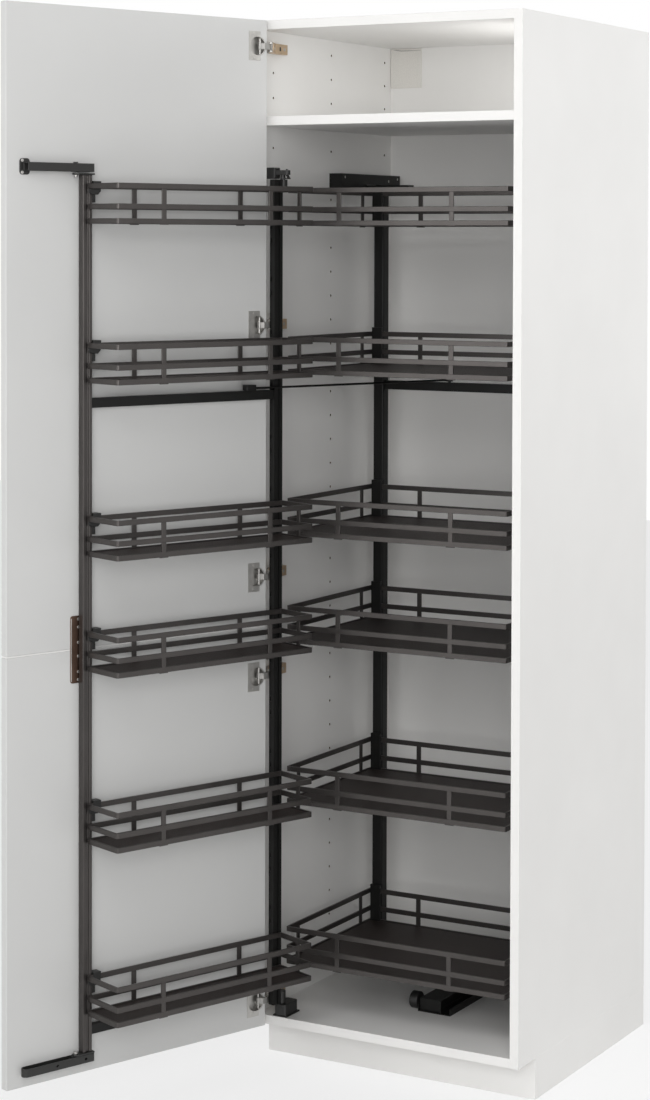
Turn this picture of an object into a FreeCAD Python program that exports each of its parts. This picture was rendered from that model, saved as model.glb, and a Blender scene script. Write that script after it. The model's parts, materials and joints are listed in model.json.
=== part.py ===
import FreeCAD, Part
import math
import os

V = FreeCAD.Vector
UP = V(0, 0, 1)
os.makedirs("parts", exist_ok=True)

# Cabinet box: width, depth and height of the carcass on its plinth, board and back thickness
WIDTH = 600.0
DEPTH = 600.0
HEIGHT = 2000.0
PLINTH = 80.0
BOARD = 18.0
BACK = 8.0
BACK_INSET = 50.0
GROOVE = 8.0
PLINTH_SETBACK = 75.6
PLINTH_BOARD = 16.0
SHELF_DROP = 171.5
SHELF_SETBACK = 4.0
SHELF_PLAY = 0.3
DOWEL = 4.0
DOWEL_PLAY = 0.05
BATTEN = 90.0
FIXING_HOLE = 4.0
FIXING_SPAN = 400.0
COVER_WIDE = 75.0
COVER_TALL = 85.0
COVER_THICK = 3.0
COVER_EDGE = 1.0
LEG_IN = 60.0

# Pin-hole grid in the side boards
HOLE = 2.5
HOLE_DEPTH = 10.0
HOLE_PITCH = 50.0
HOLE_FRONT = 56.0
HOLE_MIDDLE_EDGE = 314.5
HOLE_REAR_EDGE = 86.5
SHORT_ROWS = 6

# Doors: two leaves joined into one, open as in the picture
OPEN = 110.6
DOOR_BOARD = 18.0
DOOR_GAP = 2.5
REVEAL = 1.5
LEAF_GAP = 3.0
LOWER_SHARE = 0.4
LEAF_EDGE = 1.2

# Concealed hinges: pin in the arm, pin in the cup, how far the link folds for each degree of the door
ARM_PIN_IN = 44.0
ARM_PIN_BACK = 4.0
CUP_PIN_IN = 14.5
CUP_PIN_DEEP = 4.3
LINK_SHARE = 0.5
PIN = 2.0
PIN_PLAY = 0.08
EYE = 4.0
LINK_HALF = 1.8
LINK_TALL = 12.0
FORK_PLAY = 0.3
ARM_TALL = 20.0
CUP = 18.0
CUP_WALL = 1.4
CUP_FLOOR = 0.8
CUP_DEEP = 12.6
CUP_IN = 24.5
CUP_PLAY = 0.1
FLANGE = 1.0
FLANGE_WIDE = 28.0
FLANGE_TALL = 57.0
FLANGE_PAST = 7.5
SCREW = 3.4
SCREW_HEAD = 0.8
SCREW_IN = 5.0
HINGE_END = 51.5
HINGE_SEAM = 97.3
HINGE_MIDDLE = 601.5
PLATE = 3.0
RUNNING = 0.4
WALL_PLATE_START = 28.0
WALL_PLATE_LONG = 54.0
WALL_PLATE_TALL = 19.0
WALL_PLATE_CORNER = 4.0
ARM_REAR = 80.0
ARM_KNEE = 32.0
ARM_THICK = 13.0
LINK_BEND = -1.5
LINK_ELBOW = 5.6

# Swing frame that rides beside the doors: pivot from the carcass corner, posts, bars
PIVOT_IN = 68.0
PIVOT_BACK = 12.0
PIVOT_PIN = 5.0
SLEEVE = 9.0
POST_WIDE = 20.3
POST_DEEP = 15.0
POST_OFF = 3.6
POST_NEAR = -25.7
POST_FREE_ROOM = 174.5
POST_LIFT = 26.0
POST_DROP = 315.0
GROOVE_WIDE = 6.0
GROOVE_DEEP = 3.0
SLOT_OFF = 2.5
SLOT_WIDE = 4.0
SLOT_TALL = 9.0
SLOT_DEEP = 2.5
SLOT_PITCH = 104.1
SLOT_PAIR = 27.2
SLOT_DROP = 93.4
BAR_TALL = 18.6
BAR_DEEP = 10.0
MIDDLE_BAR_LEVEL = 42.255
LOWER_BAR_LIFT = 57.0
FOOT = 3.0
END_PLATE_PAST = 4.0
HEAD_TALL = 23.0
LUG = 7.0
LUG_TALL = 9.0
LUG_LIFT = 8.5
RUNNER = 14.0
TIE_PAST = 2.5
TIE_WIDE = 34.5
TIE_TALL = 126.0
TIE_THICK = 1.8
TIE_CORNER = 5.0
HOLDER_EDGE = 28.0
HOLDER_WIDE = 21.0
GUIDE_ARM_EDGE = 36.0
GUIDE_ARM_START = 4.5
LOWER_RAIL_EDGE = 27.5
SHEET = 2.0
HOLDER_THICK = 2.5
HOLDER_TALL = 30.0
HOLDER_CORNER = 6.0
GUIDE_DEEP = 19.0
GUIDE_ARM_TALL = 15.5
LOWER_RAIL_TALL = 15.0
ARM_SLOT = 5.0
ARM_SLOT_IN = 8.0

# Trays: bars, base plate, levels on the posts
RAIL_TALL = 10.0
RAIL_THICK = 4.0
TRAY_TALL = 75.0
MIDDLE_RAIL = 27.0
JOIN = 0.05
UPRIGHT = 10.0
DOOR_SHARES = (0.228, 0.772)
PIVOT_END_SHARES = (0.57,)
INNER_SHARES = (0.24, 0.75)
INNER_END_SHARES = (0.13, 0.87)
CLIP_WIDE = 17.0
CLIP_TALL = 25.5
CLIP_RISE = 4.5
CLIP_DEEP = 12.0
CLIP_LIP = 0.8
STEM_WIDE = 7.0
STEM_TALL = 14.0
BRACKET_WIDE = 23.0
BRACKET_THICK = 4.0
BRACKET_RISE = 9.0
TRAY_PLATE = 6.0
PLATE_LIFT = 1.5
FIRST_TRAY_LIFT = 95.5
TRAY_DROP = 90.9
LEVELS = (0, 12, 24, 32, 44, 55)
DOOR_TRAY_PAST = 11.5
DOOR_TRAY_DEEP = 101.0
DOOR_TRAY_START = -24.0
INNER_ROOM_LEFT = 42.0
INNER_ROOM_RIGHT = 31.0
INNER_ROOM_FRONT = 42.0
INNER_ROOM_REAR = 156.0

# Inner frame that slides on the floor guide
COLUMN = 24.0
COLUMN_LIFT = 42.0
COLUMN_DROP = 7.0
INNER_BAR_DEEP = 12.0
GUIDE_WALL = 2.0
GUIDE_TALL = 12.0
GUIDE_LEFT = -7.0
GUIDE_WIDE = 52.0
GUIDE_WING = 21.0
GUIDE_ROOM_FRONT = 170.0
GUIDE_ROOM_REAR = 7.0
WHEEL = 17.0
WHEEL_WIDE = 18.0
AXLE = 3.0
ROLLER_TALL = 13.0
TOP_GUIDE_ROOM_FRONT = 278.5
TOP_GUIDE_ROOM_REAR = 13.0
TOP_GUIDE_WIDE = 30.0
TOP_GUIDE_TALL = 20.5
ARM_PLATE = 4.0
ARM_PLATE_PAST = 59.0
TOP_GUIDE_UNDER = 0.5

# Push rod between the two frames
ROD = 2.2
ROD_FRONT = 57.0
ROD_OFF = 20.0
ROD_REAR_IN = 164.0
ROD_LIFT = 5.0

# Places worked out from the sizes above
LEFT = -WIDTH / 2
RIGHT = WIDTH / 2
FRONT = -DEPTH / 2
REAR = DEPTH / 2
INNER_LEFT = LEFT + BOARD
INNER_RIGHT = RIGHT - BOARD
FLOOR = PLINTH + BOARD
TOP = PLINTH + HEIGHT
BACK_FACE = REAR - BACK_INSET - BACK
TURN = math.radians(OPEN)
HOLE_MIDDLE = DEPTH - HOLE_MIDDLE_EDGE
HOLE_REAR = DEPTH - HOLE_REAR_EDGE


def turned(x, y, angle):
    c = math.cos(angle)
    s = math.sin(angle)
    return (x * c - y * s, x * s + y * c)


# The open door stands where the folded-out link puts its cup pin
SHUT_X = LEFT + REVEAL
SHUT_Y = FRONT - DOOR_GAP
ARM_X = LEFT + ARM_PIN_IN
ARM_Y = FRONT + ARM_PIN_BACK
fold = turned(SHUT_X + CUP_PIN_IN - ARM_X, SHUT_Y - CUP_PIN_DEEP - ARM_Y, LINK_SHARE * TURN)
reach = turned(CUP_PIN_IN, -CUP_PIN_DEEP, -TURN)
DOOR_X = ARM_X + fold[0] - reach[0]
DOOR_Y = ARM_Y + fold[1] - reach[1]
PIVOT_X = LEFT + PIVOT_IN
PIVOT_Y = FRONT + PIVOT_BACK


def to_door(x, y):
    return turned(x - DOOR_X, y - DOOR_Y, TURN)


ARM_S, ARM_O = to_door(ARM_X, ARM_Y)
PIVOT_S, PIVOT_O = to_door(PIVOT_X, PIVOT_Y)
LOWER_TOP = PLINTH + LOWER_SHARE * HEIGHT - LEAF_GAP / 2
DOOR_LOW = PLINTH + REVEAL
DOOR_HIGH = TOP - REVEAL
UPPER_LOW = LOWER_TOP + LEAF_GAP
DOOR_WIDE = WIDTH - 2 * REVEAL
UPPER_HINGES = [DOOR_HIGH - HINGE_END, DOOR_HIGH - HINGE_MIDDLE, UPPER_LOW + HINGE_SEAM]
LOWER_HINGES = [LOWER_TOP - HINGE_SEAM, DOOR_LOW + HINGE_END]
HINGES = UPPER_HINGES + LOWER_HINGES
POST_FAR = DOOR_WIDE - POST_FREE_ROOM
POST_LOW = FLOOR + POST_LIFT
POST_HIGH = TOP - POST_DROP
FIRST_TRAY = FLOOR + FIRST_TRAY_LIFT
STEP = (POST_HIGH - TRAY_DROP - FIRST_TRAY) / LEVELS[-1]
TRAY_ZS = [FIRST_TRAY + STEP * n for n in LEVELS]
MIDDLE_BAR = FIRST_TRAY + STEP * MIDDLE_BAR_LEVEL
LOWER_BAR = FLOOR + LOWER_BAR_LIFT
DOOR_TRAY_LONG = POST_FAR + DOOR_TRAY_PAST - DOOR_TRAY_START
INNER_REAR = BACK_FACE - INNER_ROOM_REAR
INNER_TRAY_DEEP = INNER_REAR - FRONT - INNER_ROOM_FRONT
INNER_TRAY_LONG = INNER_RIGHT - INNER_ROOM_RIGHT - INNER_LEFT - INNER_ROOM_LEFT
INNER_CENTRE = (INNER_ROOM_LEFT - INNER_ROOM_RIGHT) / 2
COLUMN_LOW = FLOOR + COLUMN_LIFT
COLUMN_HIGH = POST_HIGH - COLUMN_DROP
GUIDE_FRONT = FRONT + GUIDE_ROOM_FRONT
GUIDE_REAR = BACK_FACE - GUIDE_ROOM_REAR
TOP_GUIDE_FRONT = FRONT + TOP_GUIDE_ROOM_FRONT
TOP_GUIDE_REAR = BACK_FACE - TOP_GUIDE_ROOM_REAR
TOP_GUIDE_LOW = POST_HIGH - TOP_GUIDE_UNDER
POST_FRONT = POST_OFF + POST_DEEP
COLUMN_Y = INNER_REAR + COLUMN / 2
COLUMN_LEFT = INNER_CENTRE - INNER_TRAY_LONG / 2 + COLUMN / 2 + 4
COLUMN_RIGHT = 2 * INNER_CENTRE - COLUMN_LEFT
ROD_REAR = COLUMN_LEFT + ROD_REAR_IN


def box(x0, x1, y0, y1, z0, z1):
    return Part.makeBox(x1 - x0, y1 - y0, z1 - z0, V(x0, y0, z0))


def drum(radius, x, y, z0, z1):
    return Part.makeCylinder(radius, z1 - z0, V(x, y, z0), UP)


def peg(radius, x0, x1, y, z):
    return Part.makeCylinder(radius, x1 - x0, V(x0, y, z), V(1, 0, 0))


def stud(radius, x, y0, y1, z):
    return Part.makeCylinder(radius, y1 - y0, V(x, y0, z), V(0, 1, 0))


def plan(points, z0, z1):
    ring = Part.makePolygon([V(x, y, z0) for x, y in points] + [V(points[0][0], points[0][1], z0)])
    return Part.Face(ring).extrude(V(0, 0, z1 - z0))


def section_x(points, x0, x1):
    ring = Part.makePolygon([V(x0, y, z) for y, z in points] + [V(x0, points[0][0], points[0][1])])
    return Part.Face(ring).extrude(V(x1 - x0, 0, 0))


def section_y(points, y0, y1):
    ring = Part.makePolygon([V(x, y0, z) for x, z in points] + [V(points[0][0], y0, points[0][1])])
    return Part.Face(ring).extrude(V(0, y1 - y0, 0))


def strut(a, b, half, z0, z1):
    length = math.hypot(b[0] - a[0], b[1] - a[1])
    bar = box(0, length, -half, half, z0, z1)
    bar.rotate(V(0, 0, 0), UP, math.degrees(math.atan2(b[1] - a[1], b[0] - a[0])))
    bar.translate(V(a[0], a[1], 0))
    return bar


def joined(shapes):
    return shapes[0].multiFuse(shapes[1:]).removeSplitter()


def swung(shape):
    moved = shape.copy()
    moved.rotate(V(0, 0, 0), UP, -OPEN)
    moved.translate(V(DOOR_X, DOOR_Y, 0))
    return moved


def mirrored(shape):
    return shape.mirror(V(0, 0, 0), V(1, 0, 0))


def save(node, shapes, open_side=False):
    placed = [swung(s) for s in shapes] if open_side else shapes
    whole = placed[0] if len(placed) == 1 else Part.makeCompound(placed)
    whole.exportStep("parts/" + node + ".step")


# Carcass boards
rows = int(HEIGHT / HOLE_PITCH) - 1
middle_rows = [PLINTH + HOLE_PITCH * k for k in range(1, rows + 1)]
top_rows = middle_rows[-SHORT_ROWS:]
columns = [(HOLE_FRONT, top_rows), (HOLE_MIDDLE, middle_rows), (HOLE_REAR, top_rows)]
shelf_low = TOP - BOARD - SHELF_DROP - BOARD
shelf_mid = shelf_low + BOARD / 2
holes = []
for inset, heights in columns:
    for z in heights:
        if abs(z - shelf_mid) > BOARD:
            holes.append(peg(HOLE, INNER_LEFT - HOLE_DEPTH, INNER_LEFT, FRONT + inset, z))
dowel_ys = (FRONT + HOLE_FRONT + 20, FRONT + HOLE_REAR - 20)
for y in dowel_ys:
    holes.append(peg(DOWEL + DOWEL_PLAY, INNER_LEFT - 12, INNER_LEFT, y, shelf_mid))
side = box(LEFT, INNER_LEFT, FRONT, REAR, PLINTH, TOP)
side = side.cut(box(INNER_LEFT - GROOVE, INNER_LEFT, BACK_FACE, BACK_FACE + BACK, FLOOR, TOP - BOARD))
side = side.cut(Part.makeCompound(holes))
save("side_left", [side])
save("side_right", [mirrored(side)])
save("top_board", [box(INNER_LEFT, INNER_RIGHT, FRONT, REAR, TOP - BOARD, TOP)])
save("floor_board", [box(INNER_LEFT, INNER_RIGHT, FRONT, REAR, PLINTH, FLOOR)])
back = box(INNER_LEFT - GROOVE, INNER_RIGHT + GROOVE, BACK_FACE, BACK_FACE + BACK, FLOOR, TOP - BOARD)
save("back_panel", [back])
shelf_in = INNER_LEFT + SHELF_PLAY
shelf = box(shelf_in, -shelf_in, FRONT + SHELF_SETBACK, BACK_FACE - SHELF_PLAY, shelf_low, shelf_low + BOARD)
dowels = []
for y in dowel_ys:
    socket = peg(DOWEL + DOWEL_PLAY, shelf_in, shelf_in + 20, y, shelf_mid)
    shelf = shelf.cut(socket).cut(mirrored(socket))
    dowel = peg(DOWEL, INNER_LEFT - 11, shelf_in + 19, y, shelf_mid)
    dowels += [dowel, mirrored(dowel)]
save("fixed_shelf", [shelf])
save("shelf_dowels", dowels)
battens = []
for low in (FLOOR, TOP - BOARD - BATTEN):
    batten = box(INNER_LEFT, INNER_RIGHT, REAR - BOARD, REAR, low, low + BATTEN)
    if low > HEIGHT / 2:
        for x in (-FIXING_SPAN / 2, FIXING_SPAN / 2):
            batten = batten.cut(stud(FIXING_HOLE, x, REAR - BOARD, REAR, low + BATTEN / 2))
    battens.append(batten)
save("rear_battens", battens)
cover_x = INNER_LEFT + COVER_EDGE
cover_top = TOP - BOARD - COVER_EDGE
cover_low = cover_top - COVER_TALL
cover = box(cover_x, cover_x + COVER_WIDE, BACK_FACE - COVER_THICK, BACK_FACE, cover_low, cover_top)
save("fixing_covers", [cover, mirrored(cover)])

# Plinth glued up from a front board and two returns, and levelling legs
plinth_y = FRONT + PLINTH_SETBACK
front_board = box(LEFT, RIGHT, plinth_y, plinth_y + PLINTH_BOARD, 0, PLINTH)
return_board = box(LEFT, LEFT + PLINTH_BOARD, plinth_y, REAR, 0, PLINTH)
save("plinth", [joined([front_board, return_board, mirrored(return_board)])])
leg_ring = [(0, 0), (28, 0), (28, 6), (15, 12), (15, 62), (30, 70), (30, PLINTH), (0, PLINTH)]
leg_wire = Part.makePolygon([V(x, 0, z) for x, z in leg_ring] + [V(0, 0, 0)])
leg = Part.Face(leg_wire).revolve(V(0, 0, 0), UP, 360)
legs = []
for x in (LEFT + LEG_IN, RIGHT - LEG_IN):
    for y in (plinth_y + LEG_IN + PLINTH_BOARD, REAR - LEG_IN):
        one = leg.copy()
        one.translate(V(x, y, 0))
        legs.append(one)
save("legs", legs)

# Concealed hinges: wall plate and forked arm on the carcass, folding link, cup on the door
half_arm = ARM_TALL / 2
half_link = LINK_TALL / 2
wall_plates = []
arms = []
links = []
cups = []
cup_screws = []
neck = FLANGE + RUNNING + LINK_HALF
bend_a = (LINK_BEND, neck)
bend_b = (CUP_PIN_IN - LINK_ELBOW, neck)
arm_in = INNER_LEFT + PLATE
arm_ring = [(arm_in, ARM_Y + ARM_REAR), (arm_in, ARM_Y + ARM_KNEE), (ARM_X - 0.9 * EYE, ARM_Y - 0.45 * EYE),
            (ARM_X + 0.9 * EYE, ARM_Y + 0.45 * EYE), (arm_in + ARM_THICK, ARM_Y + ARM_KNEE + PIN),
            (arm_in + ARM_THICK, ARM_Y + ARM_REAR)]
for z in HINGES:
    plate_y = ARM_Y + WALL_PLATE_START
    plate_half = WALL_PLATE_TALL / 2
    plate = box(INNER_LEFT, arm_in, plate_y, plate_y + WALL_PLATE_LONG, z - plate_half, z + plate_half)
    level_edges = [e for e in plate.Edges if abs(e.tangentAt(0).x) > 0.9]
    wall_plates.append(plate.makeFillet(WALL_PLATE_CORNER, level_edges))
    arm = plan(arm_ring, z - half_arm, z + half_arm).fuse(drum(EYE, ARM_X, ARM_Y, z - half_arm, z + half_arm))
    gap = half_link + FORK_PLAY
    mouth = box(ARM_X - 30, ARM_X + 20, ARM_Y - 20, ARM_Y + 12, z - gap, z + gap)
    arm = arm.cut(mouth).fuse(drum(PIN, ARM_X, ARM_Y, z - half_arm, z + half_arm)).removeSplitter()
    arms.append(arm)
    points = [(ARM_S, ARM_O), bend_a, bend_b, (CUP_PIN_IN, -CUP_PIN_DEEP)]
    pieces = [strut(points[n], points[n + 1], LINK_HALF, z - half_link, z + half_link) for n in range(3)]
    pieces += [drum(LINK_HALF, p[0], p[1], z - half_link, z + half_link) for p in points[1:3]]
    pieces += [drum(EYE, p[0], p[1], z - half_link, z + half_link) for p in (points[0], points[3])]
    link = joined(pieces)
    for p in (points[0], points[3]):
        link = link.cut(drum(PIN + PIN_PLAY, p[0], p[1], z - half_link, z + half_link))
    links.append(link)
    bowl = stud(CUP + CUP_WALL, CUP_IN, -CUP_DEEP - CUP_FLOOR, 0, z)
    lip = stud(CUP + CUP_WALL + 1.0, CUP_IN, 0, FLANGE, z)
    half_lip = FLANGE_TALL / 2
    lip_s = CUP_IN - FLANGE_PAST
    lip_plate = box(lip_s, lip_s + FLANGE_WIDE, 0, FLANGE, z - half_lip, z + half_lip)
    cup = joined([bowl, lip, lip_plate]).cut(stud(CUP, CUP_IN, -CUP_DEEP, FLANGE, z))
    pin_half = CUP - 2.5
    cup = cup.fuse(drum(PIN, CUP_PIN_IN, -CUP_PIN_DEEP, z - pin_half, z + pin_half)).removeSplitter()
    cups.append(cup)
    screw_s = lip_s + FLANGE_WIDE / 2
    for screw_z in (z - half_lip + SCREW_IN, z + half_lip - SCREW_IN):
        cup_screws.append(stud(SCREW, screw_s, FLANGE, FLANGE + SCREW_HEAD, screw_z))
save("hinge_wall_plates", wall_plates)
save("hinge_arms", arms)
save("hinge_links", links, True)
save("hinge_cups", cups, True)
save("hinge_screws", cup_screws, True)

# Door leaves with pockets for the cups
for node, low, high, heights in (("door_upper", UPPER_LOW, DOOR_HIGH, UPPER_HINGES),
                                 ("door_lower", DOOR_LOW, LOWER_TOP, LOWER_HINGES)):
    leaf = box(0, DOOR_WIDE, -DOOR_BOARD, 0, low, high)
    leaf = leaf.makeFillet(LEAF_EDGE, leaf.Edges)
    for z in heights:
        leaf = leaf.cut(stud(CUP + CUP_WALL + CUP_PLAY, CUP_IN, -CUP_DEEP - CUP_FLOOR, 0, z))
    save(node, [leaf], True)
seam = (LOWER_TOP + UPPER_LOW) / 2
tie_s = POST_FAR + TIE_PAST
tie = box(tie_s, tie_s + TIE_WIDE, 0, TIE_THICK, seam - TIE_TALL / 2, seam + TIE_TALL / 2)
tie = tie.makeFillet(TIE_CORNER, [e for e in tie.Edges if abs(e.tangentAt(0).y) > 0.9])
save("leaf_tie", [tie], True)
tie_rows = [TIE_TALL * share for share in (-0.45, -0.333, -0.103, 0.103, 0.333, 0.45)]
ties = [stud(3.0, tie_s + TIE_WIDE / 2, TIE_THICK, TIE_THICK + 1.1, seam + dz) for dz in tie_rows]
save("leaf_tie_screws", ties, True)

# Guides on the door for the free end of the swing frame
arm_low = POST_HIGH + 5.5
arm_high = arm_low + GUIDE_ARM_TALL
arm_mid_z = (arm_low + arm_high) / 2
runner_s = POST_FAR + POST_WIDE + 11.2
holder_far = DOOR_WIDE - HOLDER_EDGE
guide_near = POST_FAR - GUIDE_ARM_START
arm_far = DOOR_WIDE - GUIDE_ARM_EDGE
holder_low = arm_mid_z - HOLDER_TALL / 2
holder = box(holder_far - HOLDER_WIDE, holder_far, 0, HOLDER_THICK, holder_low, holder_low + HOLDER_TALL)
holder = holder.makeFillet(HOLDER_CORNER, [e for e in holder.Edges if abs(e.tangentAt(0).y) > 0.9])
arm_in_o = HOLDER_THICK + SHEET
arm_out_o = GUIDE_DEEP - SHEET
arm_under = arm_high - SHEET
arm_u = [(HOLDER_THICK, arm_low), (arm_in_o, arm_low), (arm_in_o, arm_under), (arm_out_o, arm_under),
         (arm_out_o, arm_low), (GUIDE_DEEP, arm_low), (GUIDE_DEEP, arm_high), (HOLDER_THICK, arm_high)]
arm_mid = (arm_in_o + arm_out_o) / 2
slot_half = ARM_SLOT / 2
slot_near = guide_near + ARM_SLOT_IN
slot_far = arm_far - ARM_SLOT_IN + SHEET
arm_slot = box(slot_near, slot_far, arm_mid - slot_half, arm_mid + slot_half, arm_under, arm_high)
save("top_arm", [joined([holder, section_x(arm_u, guide_near, arm_far)]).cut(arm_slot)], True)
holder_screw = holder_far - 4.5
screw_top = HOLDER_THICK + 1.3
screw_levels = (arm_mid_z - 11, arm_mid_z + 11)
save("top_arm_screws", [stud(3.0, holder_screw, HOLDER_THICK, screw_top, z) for z in screw_levels], True)
rail_low = POST_LOW - FOOT - LOWER_RAIL_TALL - 1.5
rail_high = rail_low + LOWER_RAIL_TALL
rail_floor = rail_low + SHEET
rail_u = [(0, rail_low), (GUIDE_DEEP, rail_low), (GUIDE_DEEP, rail_high), (GUIDE_DEEP - SHEET, rail_high),
          (GUIDE_DEEP - SHEET, rail_floor), (SHEET, rail_floor), (SHEET, rail_high), (0, rail_high)]
rail_far = DOOR_WIDE - LOWER_RAIL_EDGE
rail_mid = GUIDE_DEEP / 2
round_s = rail_far - rail_mid
round_ring = [(0, rail_low), (rail_mid, rail_low), (rail_mid, rail_high), (rail_mid - SHEET, rail_high),
              (rail_mid - SHEET, rail_floor), (0, rail_floor), (0, rail_low)]
round_wire = Part.makePolygon([V(round_s, rail_mid - r, z) for r, z in round_ring])
round_end = Part.Face(round_wire).revolve(V(round_s, rail_mid, 0), UP, 180)
rail = joined([section_x(rail_u, guide_near, round_s), round_end])
for s in (guide_near + 18, rail_far - 71):
    rail = rail.cut(stud(2.6, s, GUIDE_DEEP - SHEET, GUIDE_DEEP, rail_low + LOWER_RAIL_TALL / 2))
save("lower_rail", [rail], True)
near_s = runner_s - RUNNER / 2
far_s = runner_s + RUNNER / 2
runner_out_o = arm_out_o - RUNNING
low_runner = box(near_s, far_s, SHEET + RUNNING, runner_out_o, rail_floor + 0.3, rail_high + RUNNING)
top_runner = box(near_s, far_s, arm_in_o + RUNNING, runner_out_o, arm_low - RUNNING, arm_under - RUNNING)
pin_top = arm_high + RUNNING
runner_pin = drum(slot_half - RUNNING, runner_s, arm_mid, arm_low, pin_top + 1)
runner_head = drum(4.4, runner_s, arm_mid, pin_top, pin_top + 2.2)
save("runners", [low_runner, joined([top_runner, runner_pin, runner_head])], True)

# Swing frame: grooved posts, cross bars, end plates and pivot sleeves
post_lip = (POST_WIDE - GROOVE_WIDE) / 2
groove_floor = POST_DEEP - GROOVE_DEEP
far_lip = POST_WIDE - post_lip
post_ring = [(0, 0), (POST_WIDE, 0), (POST_WIDE, POST_DEEP), (far_lip, POST_DEEP), (far_lip, groove_floor),
             (post_lip, groove_floor), (post_lip, POST_DEEP), (0, POST_DEEP)]
near_face = POST_NEAR + POST_WIDE
slot_o = POST_OFF + SLOT_OFF
slots = []
slot_z = POST_HIGH - SLOT_DROP
while slot_z - SLOT_PAIR - SLOT_TALL > POST_LOW:
    for z in (slot_z, slot_z - SLOT_PAIR):
        low = z - SLOT_TALL / 2
        slots.append(box(near_face - SLOT_DEEP, near_face, slot_o, slot_o + SLOT_WIDE, low, low + SLOT_TALL))
    slot_z -= SLOT_PITCH
for node, start in (("swing_post_pivot", POST_NEAR), ("swing_post_free", POST_FAR)):
    post = plan([(start + x, POST_OFF + y) for x, y in post_ring], POST_LOW, POST_HIGH)
    if start == POST_NEAR:
        post = post.cut(Part.makeCompound(slots))
    save(node, [post], True)
bars = []
bar_o = POST_OFF + (POST_DEEP - BAR_DEEP) / 2
for low in (MIDDLE_BAR, LOWER_BAR):
    bars.append(box(near_face, POST_FAR, bar_o, bar_o + BAR_DEEP, low, low + BAR_TALL))
save("swing_bars", bars, True)
end_s = POST_FAR - END_PLATE_PAST
end_ring = [(end_s, POST_OFF + 0.5), (runner_s, POST_OFF + 0.5), (far_s, POST_OFF + 6), (far_s, POST_FRONT - 2.6),
            (runner_s, POST_FRONT + 3), (end_s, POST_FRONT + 3)]
end_plates = [plan(end_ring, z, z + FOOT) for z in (POST_HIGH, POST_LOW - FOOT)]
save("swing_end_plates", end_plates, True)
bolt_o = POST_OFF + 7.5
bolts = [drum(4.5, runner_s, bolt_o, POST_LOW, POST_LOW + 3.5)]
bolts.append(drum(3.0, runner_s, bolt_o, POST_HIGH - 4, POST_HIGH))
save("swing_bolts", bolts, True)
sleeves = []
near_post = box(POST_NEAR, POST_NEAR + POST_WIDE, POST_OFF, POST_FRONT, POST_LOW, POST_HIGH)
bore = PIVOT_PIN + PIN_PLAY
for low, cut_low in ((POST_LOW, POST_LOW), (POST_HIGH - 24, POST_HIGH - 21)):
    sleeve = drum(SLEEVE, PIVOT_S, PIVOT_O, low, low + 24)
    sleeve = sleeve.fuse(box(PIVOT_S, POST_NEAR, POST_OFF + 1, POST_FRONT - 1, low, low + 24)).cut(near_post)
    sleeves.append(sleeve.cut(drum(bore, PIVOT_S, PIVOT_O, cut_low, cut_low + 21)).removeSplitter())
save("pivot_sleeves", sleeves, True)

# Pivots on the carcass: block on the floor, bracket on the left side board
block_top = POST_LOW - 1
block = box(PIVOT_X - 10, PIVOT_X + 16, FRONT + 2, FRONT + 50, FLOOR + 3, block_top)
block = block.makeChamfer(3.0, [e for e in block.Edges if abs(e.tangentAt(0).z) > 0.9])
foot_plate = box(PIVOT_X - 13, PIVOT_X + 19, FRONT + 1, FRONT + 53, FLOOR, FLOOR + 3)
floor_pivot = joined([block, foot_plate, drum(PIVOT_PIN, PIVOT_X, PIVOT_Y, FLOOR, POST_LOW + 20)])
save("floor_pivot", [floor_pivot])
head = POST_HIGH + 1
head_top = head + HEAD_TALL
lug_low = head + LUG_LIFT
lug_high = lug_low + LUG_TALL
head_right = PIVOT_X - 14
wall_block = box(INNER_LEFT, head_right, PIVOT_Y - 8, PIVOT_Y + 14, head + 1, head_top)
wall_block = wall_block.makeChamfer(2.0, [e for e in wall_block.Edges if e.BoundBox.XMin > head_right - 1])
lug_x = PIVOT_X + 9
lug = box(head_right, lug_x, PIVOT_Y - LUG, PIVOT_Y + LUG, lug_low, lug_high)
lug_end = drum(LUG, lug_x, PIVOT_Y, lug_low, lug_high)
lug_screw = drum(2.0, lug_x, PIVOT_Y, lug_high, lug_high + 2.5)
hook_x = lug_x + LUG
hook_ring = [(lug_x - 1, lug_low), (lug_x + 2, lug_low), (hook_x, head), (PIVOT_X, head), (PIVOT_X, head + SHEET),
             (hook_x - 4, head + SHEET)]
hook = section_y(hook_ring, PIVOT_Y - 4, PIVOT_Y + 4)
pivot_pin = drum(PIVOT_PIN, PIVOT_X, PIVOT_Y, POST_HIGH - 20, lug_low)
save("top_pivot", [joined([wall_block, lug, lug_end, lug_screw, hook, pivot_pin])])

# Trays: rail bars with fine weld joints, uprights between the rails, base plate
def tray_bars(long, deep, long_shares, near_shares, far_shares):
    bars_out = []
    half = UPRIGHT / 2
    rim = RAIL_THICK + JOIN
    lows = (0, MIDDLE_RAIL, TRAY_TALL - RAIL_TALL)
    for low in lows:
        for y in (0, deep - RAIL_THICK):
            bars_out.append(box(0, long, y, y + RAIL_THICK, low, low + RAIL_TALL))
        for x in (0, long - RAIL_THICK):
            bars_out.append(box(x, x + RAIL_THICK, rim, deep - rim, low, low + RAIL_TALL))
    for n in range(2):
        z0 = lows[n] + RAIL_TALL + JOIN
        z1 = lows[n + 1] - JOIN
        for x in [long * share for share in long_shares]:
            for y in (0, deep - RAIL_THICK):
                bars_out.append(box(x - half, x + half, y, y + RAIL_THICK, z0, z1))
        for x, shares in ((0, near_shares), (long - RAIL_THICK, far_shares)):
            for y in [deep * share for share in shares]:
                bars_out.append(box(x, x + RAIL_THICK, y - half, y + half, z0, z1))
    return bars_out


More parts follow.
